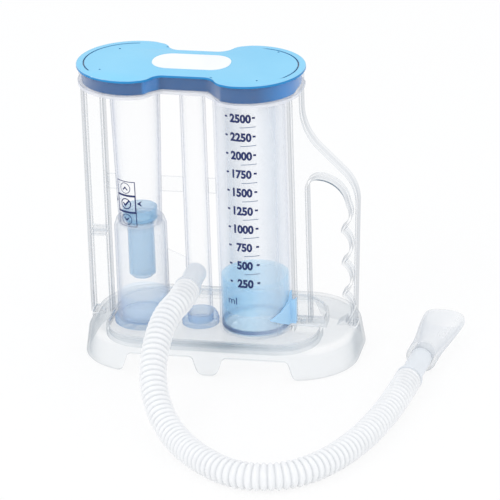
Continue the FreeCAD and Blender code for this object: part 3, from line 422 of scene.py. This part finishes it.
def handle_plastic():
    """Clear plastic with a painted dark reflection along the arch of the finger opening."""
    n = new_look("clear_handle")
    turn = n.facing(2.7)
    # painted reflection: a dark gleam along the arch
    gleam = n.window(n.reach(n.place(), ARCH_CENTRE, (1, 0, 1)), *ARCH_GLEAM_R)
    for index, stretch in ((X, ARCH_GLEAM_X), (Y, ARCH_GLEAM_Y), (Z, ARCH_GLEAM_Z)):
        gleam = n.times(gleam, n.step(n.axis("Object", index), *stretch))
    plain = n.ramp(turn, [(0.0, BODY_FACE), (0.75, BODY_EDGE)])
    shader = n.principled(n.blend(gleam, plain, srgb(48, 82, 106)), n.gloss())
    n.ripple(shader)
    cover = n.plus(n.span(turn, 0.04, 0.9), n.times(gleam, n.cloud(20.0, 0.8, 1.0)))
    return n.finish(n.see_through(cover, shader))


# the tray: height and depth of the sunk deck's lip, stretches in y and x of its front and back shoulders
DECK_LIP_Z, DECK_LIP_Y = mm(20.8, 23.0), mm(50.0, 48.4)
SHOULDER_Y, SHOULDER_X = mm(46.5, 52.0, 60.0), mm(-85.0, 10.0, 80.0)
# height of the tray's undersides, and where the clearer back turns into the front
TRAY_UNDER_Z, TRAY_FRONT_Y = mm(14.6, 14.2), mm(35.0, -5.0)


def tray_shares(n):
    """Shares of the tray's walls, of its deck's lip for a painted highlight, and of its shoulders and
    undersides for painted reflection and painted shade.
    """
    height, upward = n.axis("Object", Z), n.axis("Normal", Z)
    depth = n.absolute(n.axis("Object", Y))
    wall = n.step(n.absolute(upward), 0.75, 0.2)
    # painted highlight: the top of the deck's lip walls
    lip = n.times(wall, n.times(n.step(height, *DECK_LIP_Z), n.step(depth, *DECK_LIP_Y)))
    # painted reflection in grey on the shoulders, and painted shade on the undersides
    shoulder = n.times(n.step(upward, 0.2, 0.6), n.window(depth, *SHOULDER_Y))
    shoulder = n.times(shoulder, n.window(n.axis("Object", X), *SHOULDER_X))
    under = n.times(n.step(upward, -0.2, -0.6), n.step(height, *TRAY_UNDER_Z))
    shade = n.plus(n.times(shoulder, n.cloud(14.0, 0.9, 1.3)), n.times(under, 2.0))
    return wall, lip, shade


def base_plastic():
    """The clear tray: a painted highlight line on the sunk deck's lip, a painted grey reflection on its
    shoulders, painted shade on its undersides, a clearer back.
    """
    n = new_look("clear_base")
    turn = n.facing(3.0)
    wall, lip, shade = tray_shares(n)
    plain = n.ramp(turn, [(0.0, srgb(226, 232, 236)), (0.75, srgb(96, 116, 134))])
    # shade holds the painted reflection and painted shade, which turn grey; the lip gets a painted white
    # highlight
    colour = n.blend(shade, plain, srgb(112, 134, 148))
    colour = n.blend(lip, colour, srgb(252, 253, 254))
    shader = n.principled(colour, n.cloud(28.0, 0.05, 0.1))
    n.bump(shader, n.noise(45.0, 2.0), 0.05, 0.0008)
    front = n.span(n.step(n.axis("Object", Y), *TRAY_FRONT_Y), 0.42, 1.0)
    cover = n.times(n.span(turn, 0.06, 0.9), front)
    for share, low, high in ((wall, 0.09, 0.15), (lip, 0.5, 0.7), (shade, 0.4, 0.55)):
        cover = n.plus(cover, n.times(share, n.cloud(16.0, low, high)))
    return n.finish(n.see_through(cover, shader))


def milky_plastic(name, light, painted_groove_shade, low, high, glow):
    """Milky soft plastic that lets some light through, with a faint painted glow, and greyer in its grooves
    as painted shade.
    """
    n = new_look(name)
    curve = n.add("ShaderNodeNewGeometry").outputs["Pointiness"]
    darker = tuple(c * 0.97 for c in light[:3]) + (1.0,)
    ridge = n.blend(n.noise(30.0), light, darker)
    # painted shade: the hollow places of the folds turn greyer
    colour = n.blend(n.step(curve, 0.44, 0.52), painted_groove_shade, ridge)
    # the emission is a painted glow
    shader = n.principled(colour, n.cloud(30.0, 0.28, 0.38),
                          Emission_Strength=glow, Emission_Color=srgb(246, 248, 252))
    n.bump(shader, n.noise(80.0, 3.0), 0.05, 0.0004)
    return n.finish(n.see_through(n.cloud(18.0, low, high), shader))


# heights between which the cup and the foot caps grow dense
CUP_FADE_Z, CAP_FADE_Z = mm(114.0, 98.0), mm(40.0, 21.5)

LOOKS = [
    clear_plastic("clear_tube", srgb(236, 240, 248), srgb(126, 140, 172), (0.02, 0.75), 2.8),
    clear_plastic("clear_chamber", srgb(250, 251, 253), srgb(146, 160, 188), (0.12, 0.7), 2.6),
    clear_plastic("clear_body", BODY_FACE, BODY_EDGE, (0.04, 0.95), 2.7),
    clear_plastic("mouth_white", srgb(250, 251, 252), srgb(194, 201, 211), (0.2, 0.75), 2.4, 0.15),
    cylinder_plastic(),
    handle_plastic(),
    rim_plastic(),
    base_plastic(),
    lid_plastic(),
    piston_plastic(),
    fading_plastic("cup_blue", srgb(158, 208, 236), srgb(134, 178, 212), (0.3, 0.7), CUP_FADE_Z, 0.85),
    fading_plastic("cap_blue", srgb(186, 216, 244), srgb(92, 140, 200), (0.2, 0.85), CAP_FADE_Z, 0.04),
    # the hose and the cuffs: painted shade in their grooves and a faint painted glow
    milky_plastic("hose_white", srgb(247, 247, 247), srgb(210, 213, 216), 0.72, 0.84, 0.06),
    milky_plastic("cuff_grey", srgb(232, 236, 240), srgb(206, 213, 220), 0.82, 0.9, 0.05),
    solid_plastic("pointer_blue", srgb(164, 212, 247), srgb(188, 225, 252), 0.25),
    solid_plastic("seal_dark", srgb(118, 144, 186), srgb(132, 158, 198), 0.5),
    solid_plastic("filter_white", srgb(218, 232, 246), srgb(228, 238, 248), 0.9, 300.0, 0.5),
    solid_plastic("label_white", srgb(242, 244, 246), srgb(250, 251, 252), 0.4),
    solid_plastic("print_navy", srgb(8, 28, 86), srgb(14, 38, 100), 0.5),
    solid_plastic("print_grey", srgb(112, 126, 150), srgb(128, 142, 164), 0.5),
]
MATERIALS = {look.name: look for look in LOOKS}

NODE_LOOKS = {
    "base_tray": "clear_base", "upper_rim": "clear_rim", "lid_cover": "lid_blue",
    "lid_label": "label_white", "volume_cylinder": "clear_cylinder", "cylinder_floor": "clear_tube",
    "volume_piston": "piston_blue", "piston_seal": "seal_dark", "flow_tube": "clear_tube",
    "flow_chamber": "clear_chamber", "flow_seat": "clear_body", "flow_cup": "cup_blue",
    "flow_chamber_cap": "cap_blue", "inlet_filter": "filter_white", "breathing_tube": "clear_tube",
    "breathing_tube_cap": "cap_blue", "web_support_flow": "clear_body",
    "web_flow_breathing": "clear_body", "web_breathing_volume": "clear_body",
    "lower_web": "clear_body", "side_support": "clear_body", "handle_frame": "clear_handle",
    "pointer_slider": "pointer_blue", "hose_cuff": "cuff_grey", "hose": "hose_white",
    "mouth_cuff": "cuff_grey", "mouthpiece": "mouth_white",
}
for node, look in NODE_LOOKS.items():
    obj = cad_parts[node]
    obj.data.materials.clear()
    obj.data.materials.append(MATERIALS[look])


# pieces that the scene adds

SHARP_EDGE = math.radians(28)
# points closer together than this, in metres, are one point
WELD = 1e-6


def new_piece(name, verts, faces, look, smooth=True):
    """A mesh piece of the object from points in metres."""
    mesh = bpy.data.meshes.new(name)
    mesh.from_pydata(verts, [], faces)
    mesh.validate()
    mesh.update()
    if smooth:
        mesh.shade_smooth()
    obj = bpy.data.objects.new(name, mesh)
    scene.collection.objects.link(obj)
    obj.data.materials.append(MATERIALS[look])
    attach(obj, "housing")
    return obj


def dress(node, name, points, faces):
    """A piece of the scene that stands for a CAD node and has its look."""
    piece = new_piece(name, points, faces, NODE_LOOKS[node])
    piece.data.set_sharp_from_angle(angle=SHARP_EDGE)
    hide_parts(node)


def welded(node):
    """A copy of a CAD node's mesh, with its doubled points joined."""
    work = bmesh.new()
    work.from_mesh(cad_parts[node].data)
    bmesh.ops.remove_doubles(work, verts=work.verts, dist=WELD)
    return work


def ring_faces(rings, around, closed=False):
    """Quads between rings of points in a row, and from the last ring back to the first one if closed."""
    faces = []
    for i in range(rings if closed else rings - 1):
        this, following = i * around, (i + 1) % rings * around
        for j in range(around):
            k = (j + 1) % around
            faces.append((this + j, this + k, following + k, following + j))
    return faces


# breathing hose: corrugated tube along the route's own smooth curve

# pitch, depth and roundness of the folds, and the rings that draw one fold
FOLD_PITCH, FOLD_DEPTH, FOLD_ROUND, FOLD_RINGS = 4.9, 1.75, 0.6, 8
HOSE_AROUND = 40


def hose_line():
    """Points of the smooth curve that has the route as its control points, in metres."""
    curve = bpy.data.curves.new("hose_route", "CURVE")
    curve.dimensions = "3D"
    curve.resolution_u = 24
    spline = curve.splines.new("NURBS")
    spline.points.add(len(HOSE_ROUTE) - 1)
    for point, place in zip(spline.points, HOSE_ROUTE):
        point.co = (*mm(*place), 1.0)
    spline.order_u = 3
    spline.use_endpoint_u = True
    guide = bpy.data.objects.new("hose_route", curve)
    mesh = bpy.data.meshes.new_from_object(guide)
    points = [v.co.copy() for v in mesh.vertices]
    bpy.data.objects.remove(guide)
    return points


def spaced(points, step):
    """The same line with points at an even distance, and its length."""
    lengths = [0.0]
    for a, b in zip(points, points[1:]):
        lengths.append(lengths[-1] + (b - a).length)
    count = int(round(lengths[-1] / step))
    out = []
    at = 0
    for i in range(count + 1):
        want = lengths[-1] * i / count
        while at < len(points) - 2 and lengths[at + 1] < want:
            at += 1
        out.append(points[at].lerp(points[at + 1], share_between(want, lengths[at], lengths[at + 1])))
    return out, lengths[-1]


def tube_frames(points):
    """Two cross directions for each point of a line, carried along without twist."""
    tangents = []
    for i in range(len(points)):
        a = points[max(i - 1, 0)]
        b = points[min(i + 1, len(points) - 1)]
        tangents.append((b - a).normalized())
    side = tangents[0].cross(Vector((0, 0, 1))).normalized()
    frames = []
    for tangent in tangents:
        side = (side - tangent * side.dot(tangent)).normalized()
        frames.append((side, tangent.cross(side)))
    return frames


def fold_radius(i):
    """The hose's radius at ring i, in metres."""
    phase = (i % FOLD_RINGS) / FOLD_RINGS
    fold = 0.5 - 0.5 * math.cos(2 * math.pi * phase)
    return (HOSE_R - FOLD_DEPTH * (1 - fold ** FOLD_ROUND)) * MM


def make_hose():
    fine, length = spaced(hose_line(), FOLD_PITCH * MM / FOLD_RINGS)
    verts = []
    for i, (point, (side, up)) in enumerate(zip(fine, tube_frames(fine))):
        radius = fold_radius(i)
        for angle in round_angles(HOSE_AROUND):
            verts.append(point + side * (radius * math.cos(angle)) + up * (radius * math.sin(angle)))
    hose = new_piece("corrugated_hose", verts, ring_faces(len(fine), HOSE_AROUND), "hose_white")
    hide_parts("hose")
    return hose, fine, length


# mouthpiece: round socket that flares into a flat lip with soft edges

# stations of its section: distance along it, half width and half height
SOCKET = [(0.0, 10.3, 10.3), (0.5, 11.3, 11.3), (1.6, 11.8, 11.8), (8.0, 11.75, 11.75), (14.0, 11.8, 11.6)]
LIPS = [(73.3, 16.1, 8.1), (73.9, 15.7, 7.7), (74.0, 15.3, 7.3), (74.0, 15.1, 7.1), (73.4, 14.7, 6.7)]
SOCKET_BORE = [(13.8, 8.3, 8.3), (1.0, 8.3, 8.3), (0.0, 9.0, 9.0)]
FLARE_START, FLARE_LENGTH, FLARE_STATIONS = 14.0, 58.4, 12
# the flare's half width and half height at its start, and how much wider and flatter it gets
FLARE_OUTSIDE, FLARE_BORE = (11.8, 11.6, 4.4, 3.4), (8.3, 8.3, 6.4, 1.6)
# the exponent of an ellipse, what a flat section's has over it, and how much wider than high that one is
ELLIPSE, SQUARE_GAIN, SQUARE_AT = 2.0, 0.7, 8.0
# distance from the route's end to the mouthpiece, and points round a section
MOUTH_AWAY, MOUTH_AROUND = 38.0, 56


def flare(half_width, half_height, wider, flatter):
    """Stations from the round socket to the flat lip."""
    out = []
    for i in range(1, FLARE_STATIONS + 1):
        share = i / FLARE_STATIONS
        ease = share * share * (3 - 2 * share)
        distance = FLARE_START + FLARE_LENGTH * share
        out.append((distance, half_width + wider * ease, half_height - flatter * ease))
    return out


def mouth_section(width, height):
    """Points round a section in (across, up): an ellipse, squarer the flatter it is."""
    power = ELLIPSE / (ELLIPSE + SQUARE_GAIN * share_between(width - height, 0.0, SQUARE_AT))
    out = []
    for angle in round_angles(MOUTH_AROUND):
        c, s = math.cos(angle), math.sin(angle)
        out.append((width * math.copysign(abs(c) ** power, c), height * math.copysign(abs(s) ** power, s)))
    return out


def make_mouthpiece():
    end = Vector(HOSE_ROUTE[-1])
    along = end - Vector(HOSE_ROUTE[-2])
    along = Vector((along.x, along.y, 0)).normalized()
    across = Vector((along.y, -along.x, 0))
    start = end + along * MOUTH_AWAY
    stations = SOCKET + flare(*FLARE_OUTSIDE) + LIPS + flare(*FLARE_BORE)[::-1] + SOCKET_BORE
    verts = []
    for distance, width, height in stations:
        for x, z in mouth_section(width, height):
            verts.append((start + along * distance + across * x + Vector((0, 0, z))) * MM)
    faces = ring_faces(len(stations), MOUTH_AROUND, closed=True)
    piece = new_piece("mouthpiece_shell", verts, faces, "mouth_white")
    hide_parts("mouthpiece")
    return piece


# base tray: the CAD tray with the lower corners of its feet rounded

ARCH_CENTRES, ARCH_HALF, ARCH_TOP, ARCH_LEAN = (-39.3, 34.7), 25.0, 14.0, 4.667
MIDDLE_FOOT_ROUND, END_FOOT_ROUND, ROUND_STEPS = 7.0, 5.0, 8
# how far the cutters reach below the feet, into the arches and to the front and back
CUT_BELOW, CUT_ASIDE, CUT_REACH = 1.0, 2.0, 70.0


def foot_corner(centre, side, radius):
    """The outline in (x, z) of what rounding takes off a foot beside an arch."""
    corner = Vector((centre + side * (ARCH_HALF + ARCH_LEAN), 0.0))
    inward = Vector((side, 0.0))
    upward = Vector((-side * ARCH_LEAN, ARCH_TOP)).normalized()
    half = inward.angle(upward) / 2
    reach = radius / math.tan(half)
    middle = corner + (inward + upward).normalized() * (radius / math.sin(half))
    first, last = corner + upward * reach - middle, corner + inward * reach - middle
    arc = []
    for i in range(ROUND_STEPS + 1):
        arc.append(middle + first.lerp(last, i / ROUND_STEPS).normalized() * radius)
    below, aside = Vector((0.0, -CUT_BELOW)), inward * CUT_ASIDE
    return arc + [arc[-1] + below, corner - aside + below, arc[0] - aside]


def foot_outlines():
    """The corners beside the two arches, rounder on the middle foot than on the end feet."""
    out = []
    for i, centre in enumerate(ARCH_CENTRES):
        for side in (-1, 1):
            middle_foot = (side == 1) == (i == 0)
            out.append(foot_corner(centre, side, MIDDLE_FOOT_ROUND if middle_foot else END_FOOT_ROUND))
    return out


def add_prism(work, outline):
    """An outline in (x, z) drawn out to the front and back."""
    near, far = [], []
    for y, row in ((-CUT_REACH, near), (CUT_REACH, far)):
        for x, z in outline:
            row.append(work.verts.new(Vector((x, y, z)) * MM))
    work.faces.new(near)
    work.faces.new(far[::-1])
    for j in range(len(outline)):
        k = (j + 1) % len(outline)
        work.faces.new((near[j], far[j], far[k], near[k]))


def work_object(name, work):
    """An object in the scene from a bmesh, which is freed."""
    mesh = bpy.data.meshes.new(name)
    work.to_mesh(mesh)
    work.free()
    obj = bpy.data.objects.new(name, mesh)
    scene.collection.objects.link(obj)
    return obj


def make_base():
    corners = bmesh.new()
    for outline in foot_outlines():
        add_prism(corners, outline)
    bmesh.ops.recalc_face_normals(corners, faces=corners.faces)
    cutter = work_object("foot_corners", corners)
    blank = work_object("tray_blank", welded("base_tray"))
    rounding = blank.modifiers.new("rounding", "BOOLEAN")
    rounding.operation = "DIFFERENCE"
    rounding.solver = "EXACT"
    rounding.object = cutter
    shaped = bpy.data.meshes.new_from_object(blank.evaluated_get(bpy.context.evaluated_depsgraph_get()))
    bpy.data.objects.remove(blank)
    bpy.data.objects.remove(cutter)
    points = [v.co.copy() for v in shaped.vertices]
    faces = [tuple(p.vertices) for p in shaped.polygons]
    dress("base_tray", "base_tray_shell", points, faces)


# lid and rim: the CAD shapes with their necks drawn out to the photographed slant

# each neck: its wall's x, the side of its lobe, and how far its foot moves towards the waist
NECKS = ((-43.5, -1, 3.5), (5.0, 1, 4.5))
SHOULDER_SPREAD = 2.5
# distances from a wall over which its move fades, and the stretches in y where foot and shoulder change
WALL_FADE = (6.0, 14.0)
FOOT_START, FOOT_END, SHOULDER_START = (20.5, 21.6), (27.0, 33.0), (33.0, 39.0)
# where the drop grows or ends: in radius beyond the float's stop, beside the handle, and in height
STOP_CLEAR_R, DROP_END_Z = (30.0, 33.0), (219.0, 222.0)
HANDLE_CLEAR_Y, HANDLE_CLEAR_X = (8.0, 14.0), (44.0, 52.0)


def drop(point):
    """How far a low point goes down on the volume cylinder's side, clear of the stop and the handle."""
    x, y, z = point / MM
    over_cylinder = share_between(x, *DROP_X) * share_between(math.hypot(x - VOLUME_X, y), *STOP_CLEAR_R)
    beside_handle = max(share_between(abs(y), *HANDLE_CLEAR_Y), 1.0 - share_between(x, *HANDLE_CLEAR_X))
    return DROP * over_cylinder * beside_handle * (1.0 - share_between(z, *DROP_END_Z))


def slant(point):
    """Move a point beside a neck along x, its foot to the waist and its shoulder to the lobe, and drop it."""
    x, y = point.x / MM, abs(point.y) / MM
    shift = 0.0
    for wall, side, spread in NECKS:
        near = 1.0 - share_between(abs(x - wall), *WALL_FADE)
        foot = share_between(y, *FOOT_START) * (1.0 - share_between(y, *FOOT_END))
        shoulder = share_between(y, *SHOULDER_START)
        shift += side * near * (SHOULDER_SPREAD * shoulder - spread * foot)
    return Vector((point.x + shift * MM, point.y, point.z - drop(point) * MM))


def make_slanted(node, name):
    work = welded(node)
    points = [slant(v.co) for v in work.verts]
    faces = [tuple(v.index for v in f.verts) for f in work.faces]
    work.free()
    dress(node, name, points, faces)


make_base()
make_slanted("lid_cover", "lid_shell")
make_slanted("upper_rim", "rim_shell")
hose, hose_points, hose_length = make_hose()
mouth = make_mouthpiece()


# printed marks

# how far the print stands off its wall, and the widest strip of it that stays flat
PRINT_LIFT, PRINT_STRIP = 0.06, 1.2
MARK_RING_POINTS = 20


def text_mesh(text, height, stretch, bold):
    """Flat lettering as (points, faces) centred on its own middle, in millimetres."""
    curve = bpy.data.curves.new("lettering", "FONT")
    curve.body = text
    curve.align_x = "CENTER"
    curve.offset = bold
    curve.resolution_u = 3
    holder = bpy.data.objects.new("lettering", curve)
    mesh = bpy.data.meshes.new_from_object(holder)
    bpy.data.objects.remove(holder)
    xs = [v.co.x for v in mesh.vertices]
    ys = [v.co.y for v in mesh.vertices]
    mid_x, mid_y = (min(xs) + max(xs)) / 2, (min(ys) + max(ys)) / 2
    scale = height / (max(ys) - min(ys))
    points = [((v.co.x - mid_x) * scale * stretch, (v.co.y - mid_y) * scale) for v in mesh.vertices]
    faces = [tuple(p.vertices) for p in mesh.polygons]
    return points, faces


def cut_fine(points, faces):
    """Cut flat faces into narrow strips, so that they bend smoothly."""
    work = bmesh.new()
    made = [work.verts.new((x, y, 0)) for x, y in points]
    for face in faces:
        work.faces.new([made[i] for i in face])
    at = min(x for x, y in points) + PRINT_STRIP
    high = max(x for x, y in points)
    while at < high:
        geometry = work.verts[:] + work.edges[:] + work.faces[:]
        bmesh.ops.bisect_plane(work, geom=geometry, plane_co=(at, 0, 0), plane_no=(1, 0, 0))
        at += PRINT_STRIP
    work.verts.index_update()
    out = [(v.co.x, v.co.y) for v in work.verts]
    cut = [tuple(v.index for v in f.verts) for f in work.faces]
    work.free()
    return out, cut


class Wrap:
    """Collects flat marks and wraps them round an upright cylinder or cone."""

    def __init__(self, x, radius_at):
        self.x, self.radius_at = x, radius_at
        self.verts, self.faces = [], []

    def add(self, points, faces, angle, z):
        points, faces = cut_fine(points, faces)
        first = len(self.verts)
        for across, up in points:
            height = z + up
            radius = self.radius_at(height)
            turn = math.radians(angle) + across / radius
            radius += PRINT_LIFT
            place = (self.x + radius * math.cos(turn), radius * math.sin(turn), height)
            self.verts.append(Vector(place) * MM)
        self.faces += [tuple(first + i for i in face) for face in faces]

    def polygon(self, points, angle, z):
        self.add(points, [tuple(range(len(points)))], angle, z)

    def rectangle(self, width, height, angle, z, across=0.0, up=0.0):
        left, right = across - width / 2, across + width / 2
        low, high = up - height / 2, up + height / 2
        self.polygon([(left, low), (right, low), (right, high), (left, high)], angle, z)

    def frame(self, width, height, line, angle, z):
        """A rectangle's outline."""
        for side in (-1, 1):
            self.rectangle(width, line, angle, z, 0, side * (height - line) / 2)
            self.rectangle(line, height - 2 * line, angle, z, side * (width - line) / 2, 0)

    def ring(self, outer, inner, angle, z):
        count = MARK_RING_POINTS
        points = []
        for radius in (outer, inner):
            points += [(radius * math.cos(turn), radius * math.sin(turn)) for turn in round_angles(count)]
        faces = [(i, (i + 1) % count, count + (i + 1) % count, count + i) for i in range(count)]
        self.add(points, faces, angle, z)

    def piece(self, name, look, slot):
        obj = new_piece(name, self.verts, self.faces, look, smooth=False)


# scale on the volume cylinder, with angles in degrees round its axis

SCALE_TOP, SCALE_STEP, SCALE_COUNT, SCALE_TOP_Z, SCALE_PITCH = 2500, 250, 10, 198.5, 15.0
# lettering: height, stretch and boldness
NUMBER_SHAPE, NUMBER_ANGLE = (7.2, 0.92, 0.048), -93.5
UNIT_SHAPE, UNIT_ANGLE, UNIT_Z = (5.8, 1.1, 0.0), -117.0, 48.0
# a dash on each side of a number, a little above the number's middle
DASH_ANGLES, DASH_WIDTH, DASH_HEIGHT, DASH_UP = (-117.5, -72.5), 2.3, 1.5, 0.8
# a thin slanted line below each number but the last
LINE_POINTS, LINE_ANGLE, LINE_DOWN = [(-6, -1.0), (6, -0.1), (6, 0.5), (-6, -0.4)], -82.0, 6.6


def make_scale():
    numbers = Wrap(VOLUME_X, lambda z: VOLUME_R)
    lines = Wrap(VOLUME_X, lambda z: VOLUME_R)
    for i in range(SCALE_COUNT):
        z = SCALE_TOP_Z - SCALE_PITCH * i
        points, faces = text_mesh(str(SCALE_TOP - SCALE_STEP * i), *NUMBER_SHAPE)
        numbers.add(points, faces, NUMBER_ANGLE, z)
        for angle in DASH_ANGLES:
            numbers.rectangle(DASH_WIDTH, DASH_HEIGHT, angle, z + DASH_UP)
        if i < SCALE_COUNT - 1:
            lines.polygon(LINE_POINTS, LINE_ANGLE, z - LINE_DOWN)
    points, faces = text_mesh("ml", *UNIT_SHAPE)
    numbers.add(points, faces, UNIT_ANGLE, UNIT_Z)
    numbers.piece("scale_numbers", "print_navy", "clear_plastic")
    lines.piece("scale_lines", "print_grey", "clear_plastic")


# marks in boxes on the flow tube

CHEVRON_UP = [(-2.4, -1.2), (-1.7, -1.9), (0, -0.2), (1.7, -1.9), (2.4, -1.2), (0, 1.5)]
CHEVRON_DOWN = [(-2.4, 1.2), (0, -1.5), (2.4, 1.2), (1.7, 1.9), (0, 0.2), (-1.7, 1.9)]
CHECK_MARK = [(-2.9, 0.2), (-2.0, 1.2), (-0.7, -0.4), (2.2, 3.0), (3.1, 2.1), (-0.7, -2.5)]
# each box: middle height, height, line width and the mark's points
MARK_BOXES = {
    "too_high": (132.6, 11.8, 0.65, CHEVRON_UP),
    "goal": (119.65, 14.1, 1.0, CHECK_MARK),
    "too_low": (106.65, 11.9, 0.65, CHEVRON_DOWN),
}
MARK_ANGLE, MARK_WIDTH = -113.4, 17.0
# the ring round a mark: its radius, and its line's share of the box's line
MARK_RING_R, RING_LINE_SHARE = 4.6, 0.9
# the arrowheads beside the goal: distances from the middle, half height, and height on the tube
ARROW_TIP, ARROW_NOTCH, ARROW_BACK, ARROW_HALF, ARROW_Z = 9.1, 11.6, 13.0, 2.5, 120.4


def flow_radius(z):
    share = (z - FLOW_LOW_Z) / (FLOW_TOP_Z - FLOW_LOW_Z)
    return FLOW_LOW_R + (FLOW_TOP_R - FLOW_LOW_R) * share


def make_flow_marks():
    """Three marks in boxes on the flow tube: the cup too high, at its goal and too low."""
    dark = Wrap(FLOW_X, flow_radius)
    thin = Wrap(FLOW_X, flow_radius)
    for name, (z, height, line, mark) in MARK_BOXES.items():
        wrap = dark if name == "goal" else thin
        wrap.frame(MARK_WIDTH, height, line, MARK_ANGLE, z)
        wrap.ring(MARK_RING_R, MARK_RING_R - line * RING_LINE_SHARE, MARK_ANGLE, z)
        wrap.polygon(mark, MARK_ANGLE, z)
    for side in (-1, 1):
        tip, notch, back = side * ARROW_TIP, side * ARROW_NOTCH, side * ARROW_BACK
        half = side * ARROW_HALF
        dark.polygon([(tip, 0.0), (back, half), (notch, 0.0), (back, -half)], MARK_ANGLE, ARROW_Z)
    dark.piece("flow_mark_goal", "print_navy", "clear_plastic")
    thin.piece("flow_marks", "print_navy", "clear_plastic")


make_scale()
make_flow_marks()


# floor, light and camera, in metres

FLOOR_HALF, FLOOR_Z, FLOOR_WHITE_SHARE = 6.0, -0.0004, 0.86
LIGHT_AIM = (0, 0, 0.1)
AZIMUTH, ELEVATION, ROLL = math.radians(12.28), math.radians(23.48), math.radians(-1.9)
# the focal length is in pixels of the photograph, and the sensor in Blender's millimetres
DISTANCE, FOCAL_PX, FRAME_PX, SENSOR = 3.0, 3920.6, 500.0, 36.0
TARGET = Vector((21.24, 0.0, 79.54)) * MM


def white_where_seen(n, shader, white, share):
    """Show the white to camera, mirror and glass rays, in a share over the given shader."""
    path = n.add("ShaderNodeLightPath").outputs
    seen = n.math("MAXIMUM", path["Is Camera Ray"], path["Is Glossy Ray"])
    seen = n.math("MAXIMUM", seen, path["Is Transmission Ray"])
    return n.finish(n.mix(n.times(seen, share), shader, white))


def make_world():
    n = Nodes(bpy.data.worlds.new("studio"), "ShaderNodeOutputWorld")
    sky = n.light("ShaderNodeBackground", srgb(250, 252, 255), 0.98)
    white = n.light("ShaderNodeBackground", WHITE, 1.0)
    scene.world = white_where_seen(n, sky, white, 1.0)


def make_floor():
    n = new_look("floor_white")
    ground = n.principled(srgb(250, 250, 250), 0.9)
    white = n.light("ShaderNodeEmission", WHITE, 1.0)
    look = white_where_seen(n, ground, white, FLOOR_WHITE_SHARE)
    mesh = bpy.data.meshes.new("floor")
    corners = [(x * FLOOR_HALF, y * FLOOR_HALF, FLOOR_Z) for x, y in ((-1, -1), (1, -1), (1, 1), (-1, 1))]
    mesh.from_pydata(corners, [], [(0, 1, 2, 3)])
    floor = bpy.data.objects.new("floor", mesh)
    scene.collection.objects.link(floor)
    floor.data.materials.append(look)


def area_light(name, place, size, power):
    light = bpy.data.lights.new(name, "AREA")
    light.shape = "DISK"
    light.size = size
    light.energy = power
    obj = bpy.data.objects.new(name, light)
    scene.collection.objects.link(obj)
    obj.location = place
    direction = Vector(LIGHT_AIM) - Vector(place)
    obj.rotation_euler = direction.to_track_quat("-Z", "Y").to_euler()


def make_camera():
    """The photograph's camera, DISTANCE away from the point it looks at."""
    level = math.cos(ELEVATION)
    back = Vector((math.sin(AZIMUTH) * level, -math.cos(AZIMUTH) * level, math.sin(ELEVATION)))
    right = Vector((math.cos(AZIMUTH), math.sin(AZIMUTH), 0.0))
    up = back.cross(right)
    right_rolled = right * math.cos(ROLL) + up * math.sin(ROLL)
    up_rolled = up * math.cos(ROLL) - right * math.sin(ROLL)
    data = bpy.data.cameras.new("camera")
    data.sensor_width = SENSOR
    data.lens = FOCAL_PX / FRAME_PX * SENSOR
    data.clip_end = 20.0
    camera = bpy.data.objects.new("camera", data)
    scene.collection.objects.link(camera)
    turn = Matrix((right_rolled, up_rolled, back)).transposed().to_4x4()
    camera.matrix_world = Matrix.Translation(TARGET + back * DISTANCE) @ turn
    scene.camera = camera


make_world()
make_floor()
area_light("key", (-0.9, -1.1, 1.3), 0.9, 5.0)
area_light("fill", (1.2, -0.8, 0.8), 1.1, 2.0)
make_camera()
